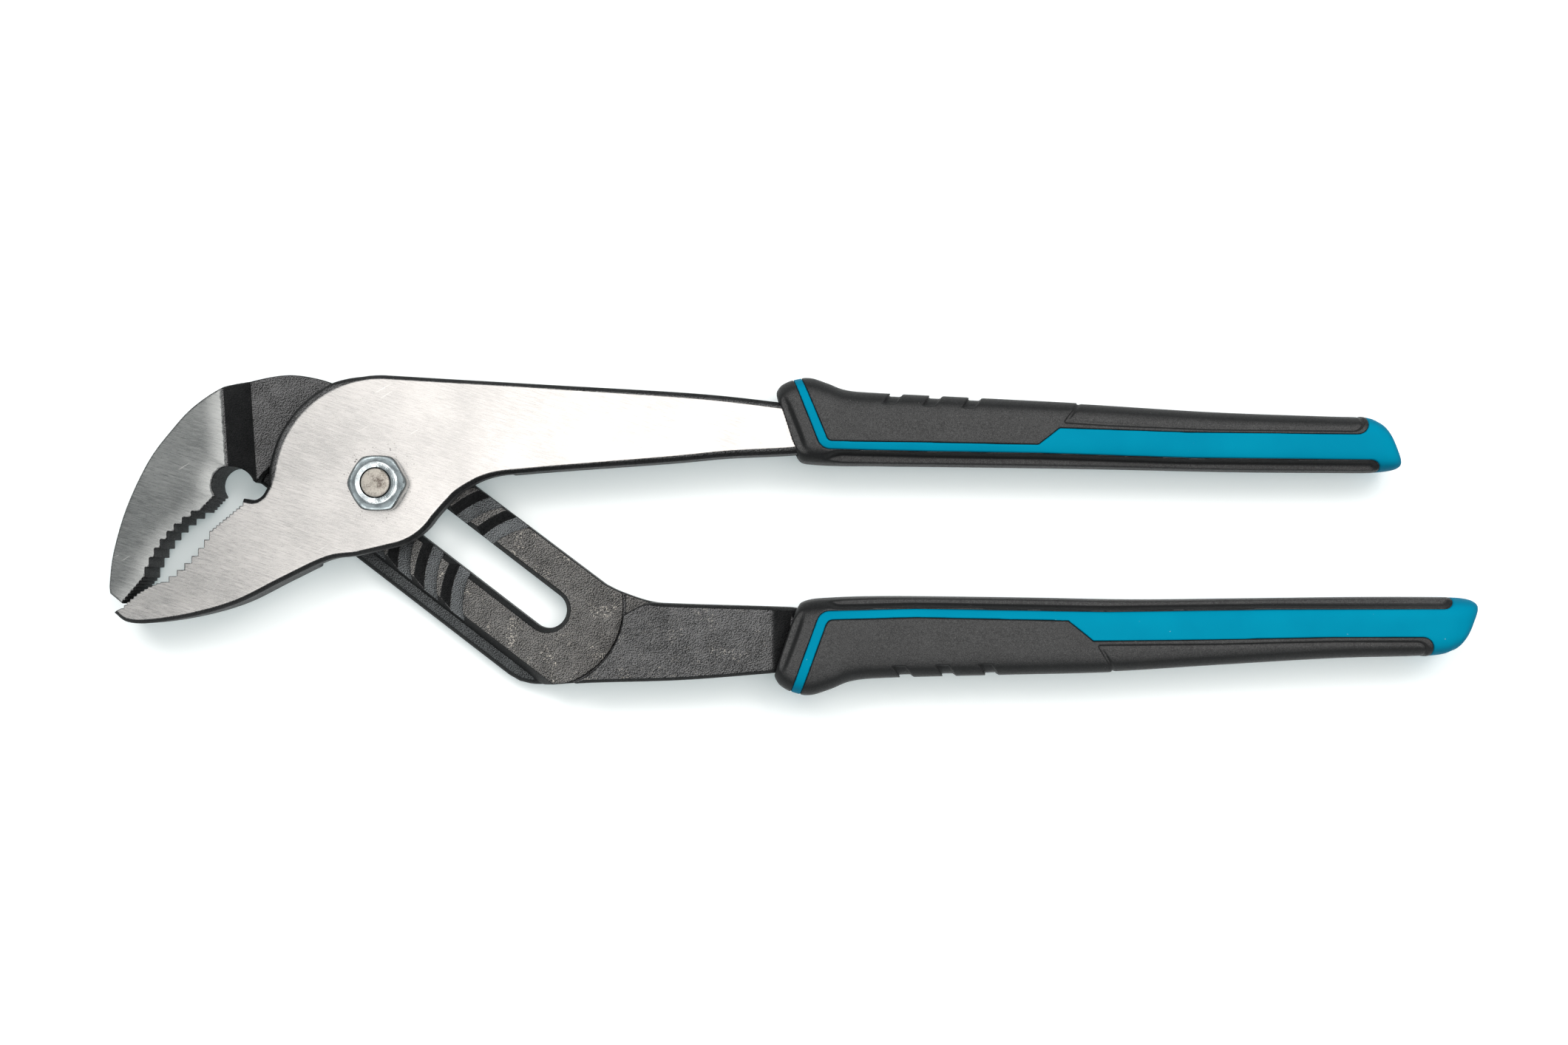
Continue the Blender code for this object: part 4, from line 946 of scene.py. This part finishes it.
def boltMaterial():
    # Sheared end: matt beige grey with brown stains; the head below is plated like the nut
    f = zincFinish
    look = Finish("boltSteel", {"Metallic": 0.8})
    cloud = look.noise(430, 4, 0.68)
    fine = look.noise(3800, 3, 0.65)
    end = (cloud * 0.6 + fine * 0.4).ramp(0.42, 0.66).mix(f.end, f.stain)
    high = look.z.ramp(0.0195, 0.0198)
    look.give(Base_Color=high.mix(f.plate, end), Roughness=high.ramp(0, 1, 0.26, 0.55))
    look.bumps((cloud, 0.3, 0.0002), (fine, 0.55, 0.00008))
    return look.material


plasticFinish = Settings(
    teal=(0, 0.205, 0.33), tealPale=(0, 0.229, 0.358), tealDeep=(0, 0.128, 0.218),
    dust=(0.25, 0.45, 0.5), grain=3600, fixed={"Specular IOR Level": 0.015},
)


def tealMaterial():
    # Hard moulding: spark-eroded grain and slow colour drift, painted shade deepening the colour on slopes,
    # a little dust
    f = plasticFinish
    look = Finish("tealPlastic", f.fixed)
    grain = look.noise(f.grain, 2, 0.55)
    dust = look.noise(1300, 1).ramp(0.8, 0.84)
    tint = look.noise(60, 3).ramp(0.3, 0.7).mix(f.teal, f.tealPale)
    # Painted shade: the colour deepens as the surface tilts away from level
    tint = (look.level.ramp(1, 0.55) * 0.75).mix(tint, f.tealDeep)
    look.give(Base_Color=(dust * 0.4).mix(tint, f.dust), Roughness=grain.ramp(0.25, 0.75, 0.42, 0.56))
    look.bumps((grain, 0.18, 0.00005))
    return look.material


rubberFinish = Settings(
    black=(0.028, 0.028, 0.0285), grey=(0.087, 0.0875, 0.088), cove=(0.006, 0.0065, 0.007),
    dust=(0.25, 0.24, 0.23), grain=5600, lowSide=0.0034, highSide=0.0046,
    fixed={"Specular IOR Level": 0.16},
)


def rubberMaterial():
    # Soft moulding: pepper grain of the mould, with painted shade that turns the upper
    # slopes and coves near black, a few specks of dust
    f = rubberFinish
    look = Finish("softRubber", f.fixed)
    grain = look.noise(f.grain, 3, 0.62)
    coarse = look.noise(1500, 2, 0.55)
    tone = grain * 0.78 + coarse * 0.14 + look.noise(130, 3, 0.6) * 0.08
    dust = look.noise(2300, 1).ramp(0.77, 0.81)
    tint = tone.ramp(0.34, 0.72).mix(f.black, f.grey)
    height = abs(look.z - levels.grip * mm)
    # Painted shade: surfaces sloping away from level, above and below the middle height, are darkened
    # towards black
    slope = look.level.ramp(1, 0.76) * height.ramp(f.lowSide, f.highSide)
    tint = (slope * 0.85).mix(tint, f.cove)
    look.give(Base_Color=(dust * 0.35).mix(tint, f.dust), Roughness=tone.ramp(0.3, 0.7, 0.68, 0.5))
    look.bumps((coarse, 0.12, 0.0001), (grain, 0.5, 0.00008))
    return look.material


# Pieces on their bodies
materials = {
    "rear": forgedMaterial("blackForging", "rear"), "front": forgedMaterial("groundForging", "front"),
    "zinc": zincMaterial(), "bolt": boltMaterial(), "teal": tealMaterial(), "rubber": rubberMaterial(),
}
print("materials made")


def fitted(piece, look, body, cadNode):
    # Gives a piece its finish and sets it on its body for its CAD node
    piece.data.materials.clear()
    piece.data.materials.append(materials[look])
    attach(piece, body)
    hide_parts(cadNode)


fitted(makeRearLever(), "rear", "rear", "rear_lever")
fitted(makeFrontLever(), "front", "front", "front_lever")
fitted(makePivotBolt(), "bolt", "pivot", "pivot_bolt")
fitted(makePivotNut(), "zinc", "pivot", "pivot_nut")
for name, table, body, blank in (("upper", upperGrip, "front", frontBlankField),
                                 ("lower", lowerGrip, "rear", rearBlankField)):
    grip = GripFields(table, blank)
    print(name, "grip field on", " by ".join(str(len(line)) for line in grip.stops))
    fitted(grip.makeCore(name + "GripCore"), "teal", body, name + "_grip_core")
    fitted(grip.makeCollar(name + "GripCollar"), "rubber", body, name + "_grip_collar")
    fitted(grip.makePad(name + "GripPad"), "rubber", body, name + "_grip_pad")


# Floor, light and camera
studio = Settings(
    floorSize=16, floorLevel=-0.00002,
    floor={"Base Color": (0.93, 0.93, 0.93), "Roughness": 0.9, "Specular IOR Level": 0.1,
           "Emission Color": (0.125, 0.17, 0.175), "Emission Strength": 1},
    roomTone=(0.94, 0.99, 1), roomLow=0.62, roomHigh=0.37, roomHeights=(0.05, 0.7),
    eye=(0.0876, -0.0201, 0.486), tilt=1.42, lens=50, sensor=36,
)
lamps = Settings(
    softboxAbove=Settings(at=(0.37, 0.1, 1.25), aim=(0.37, 0.1, 0), side=1.3, power=10.3,
        tone=(1, 0.965, 0.935), mirrored=True),
    windowLeft=Settings(at=(-0.45, 0.92, 1.25), aim=(0.06, -0.01, 0), side=0.85, power=12,
        tone=(1, 0.985, 0.97), mirrored=False),
    lampRight=Settings(at=(0.62, 0.66, 1.25), aim=(-0.02, 0, 0), side=0.6, power=5.5,
        tone=(1, 0.985, 0.97), mirrored=False),
)


def makeFloor():
    # One level square just under the pliers, that glows faintly as a lit table does
    r, z = studio.floorSize / 2, studio.floorLevel
    corners = np.array([(-r, -r, z), (r, -r, z), (r, r, z), (-r, r, z)])
    floor = linked("paleFloor", newMesh("paleFloor", corners, [(0, 1, 2, 3)]))
    floor.data.materials.append(newShader("paleFloor", studio.floor)[0])


def hangLamp(name, spec):
    # Square lamp at its place, turned to its aim; only a mirrored one shows in the polished steel
    lamp = bpy.data.lights.new(name, "AREA")
    lamp.size = spec.side
    lamp.energy = spec.power
    lamp.color = spec.tone
    held = linked(name, lamp)
    held.location = spec.at
    held.visible_glossy = spec.mirrored
    way = Vector(spec.aim) - Vector(spec.at)
    held.rotation_euler = way.to_track_quat("-Z", "Y").to_euler()


def makeRoom():
    # Pale at the horizon and dimmer overhead, by the height of each direction
    world = bpy.data.worlds.new("paleRoom")
    world.use_nodes = True
    tree = world.node_tree
    back = tree.nodes["Background"]
    put(back.inputs[0], studio.roomTone)
    height = node(tree, "ShaderNodeTexCoord", {}, "Generated").parts()[2]
    put(back.inputs[1], height.ramp(*studio.roomHeights, studio.roomLow, studio.roomHigh))
    bpy.context.scene.world = world


def setCamera():
    # The photo's eye: almost straight above, tilted a little
    eye = bpy.data.cameras.new("photoEye")
    eye.sensor_width = studio.sensor
    eye.lens = studio.lens
    held = linked("photoEye", eye)
    held.location = studio.eye
    held.rotation_euler = (radians(studio.tilt), 0, 0)
    bpy.context.scene.camera = held
    bpy.context.scene.view_settings.view_transform = "Standard"


makeFloor()
for name, spec in lamps.items():
    hangLamp(name, spec)
makeRoom()
setCamera()
print("studio set")
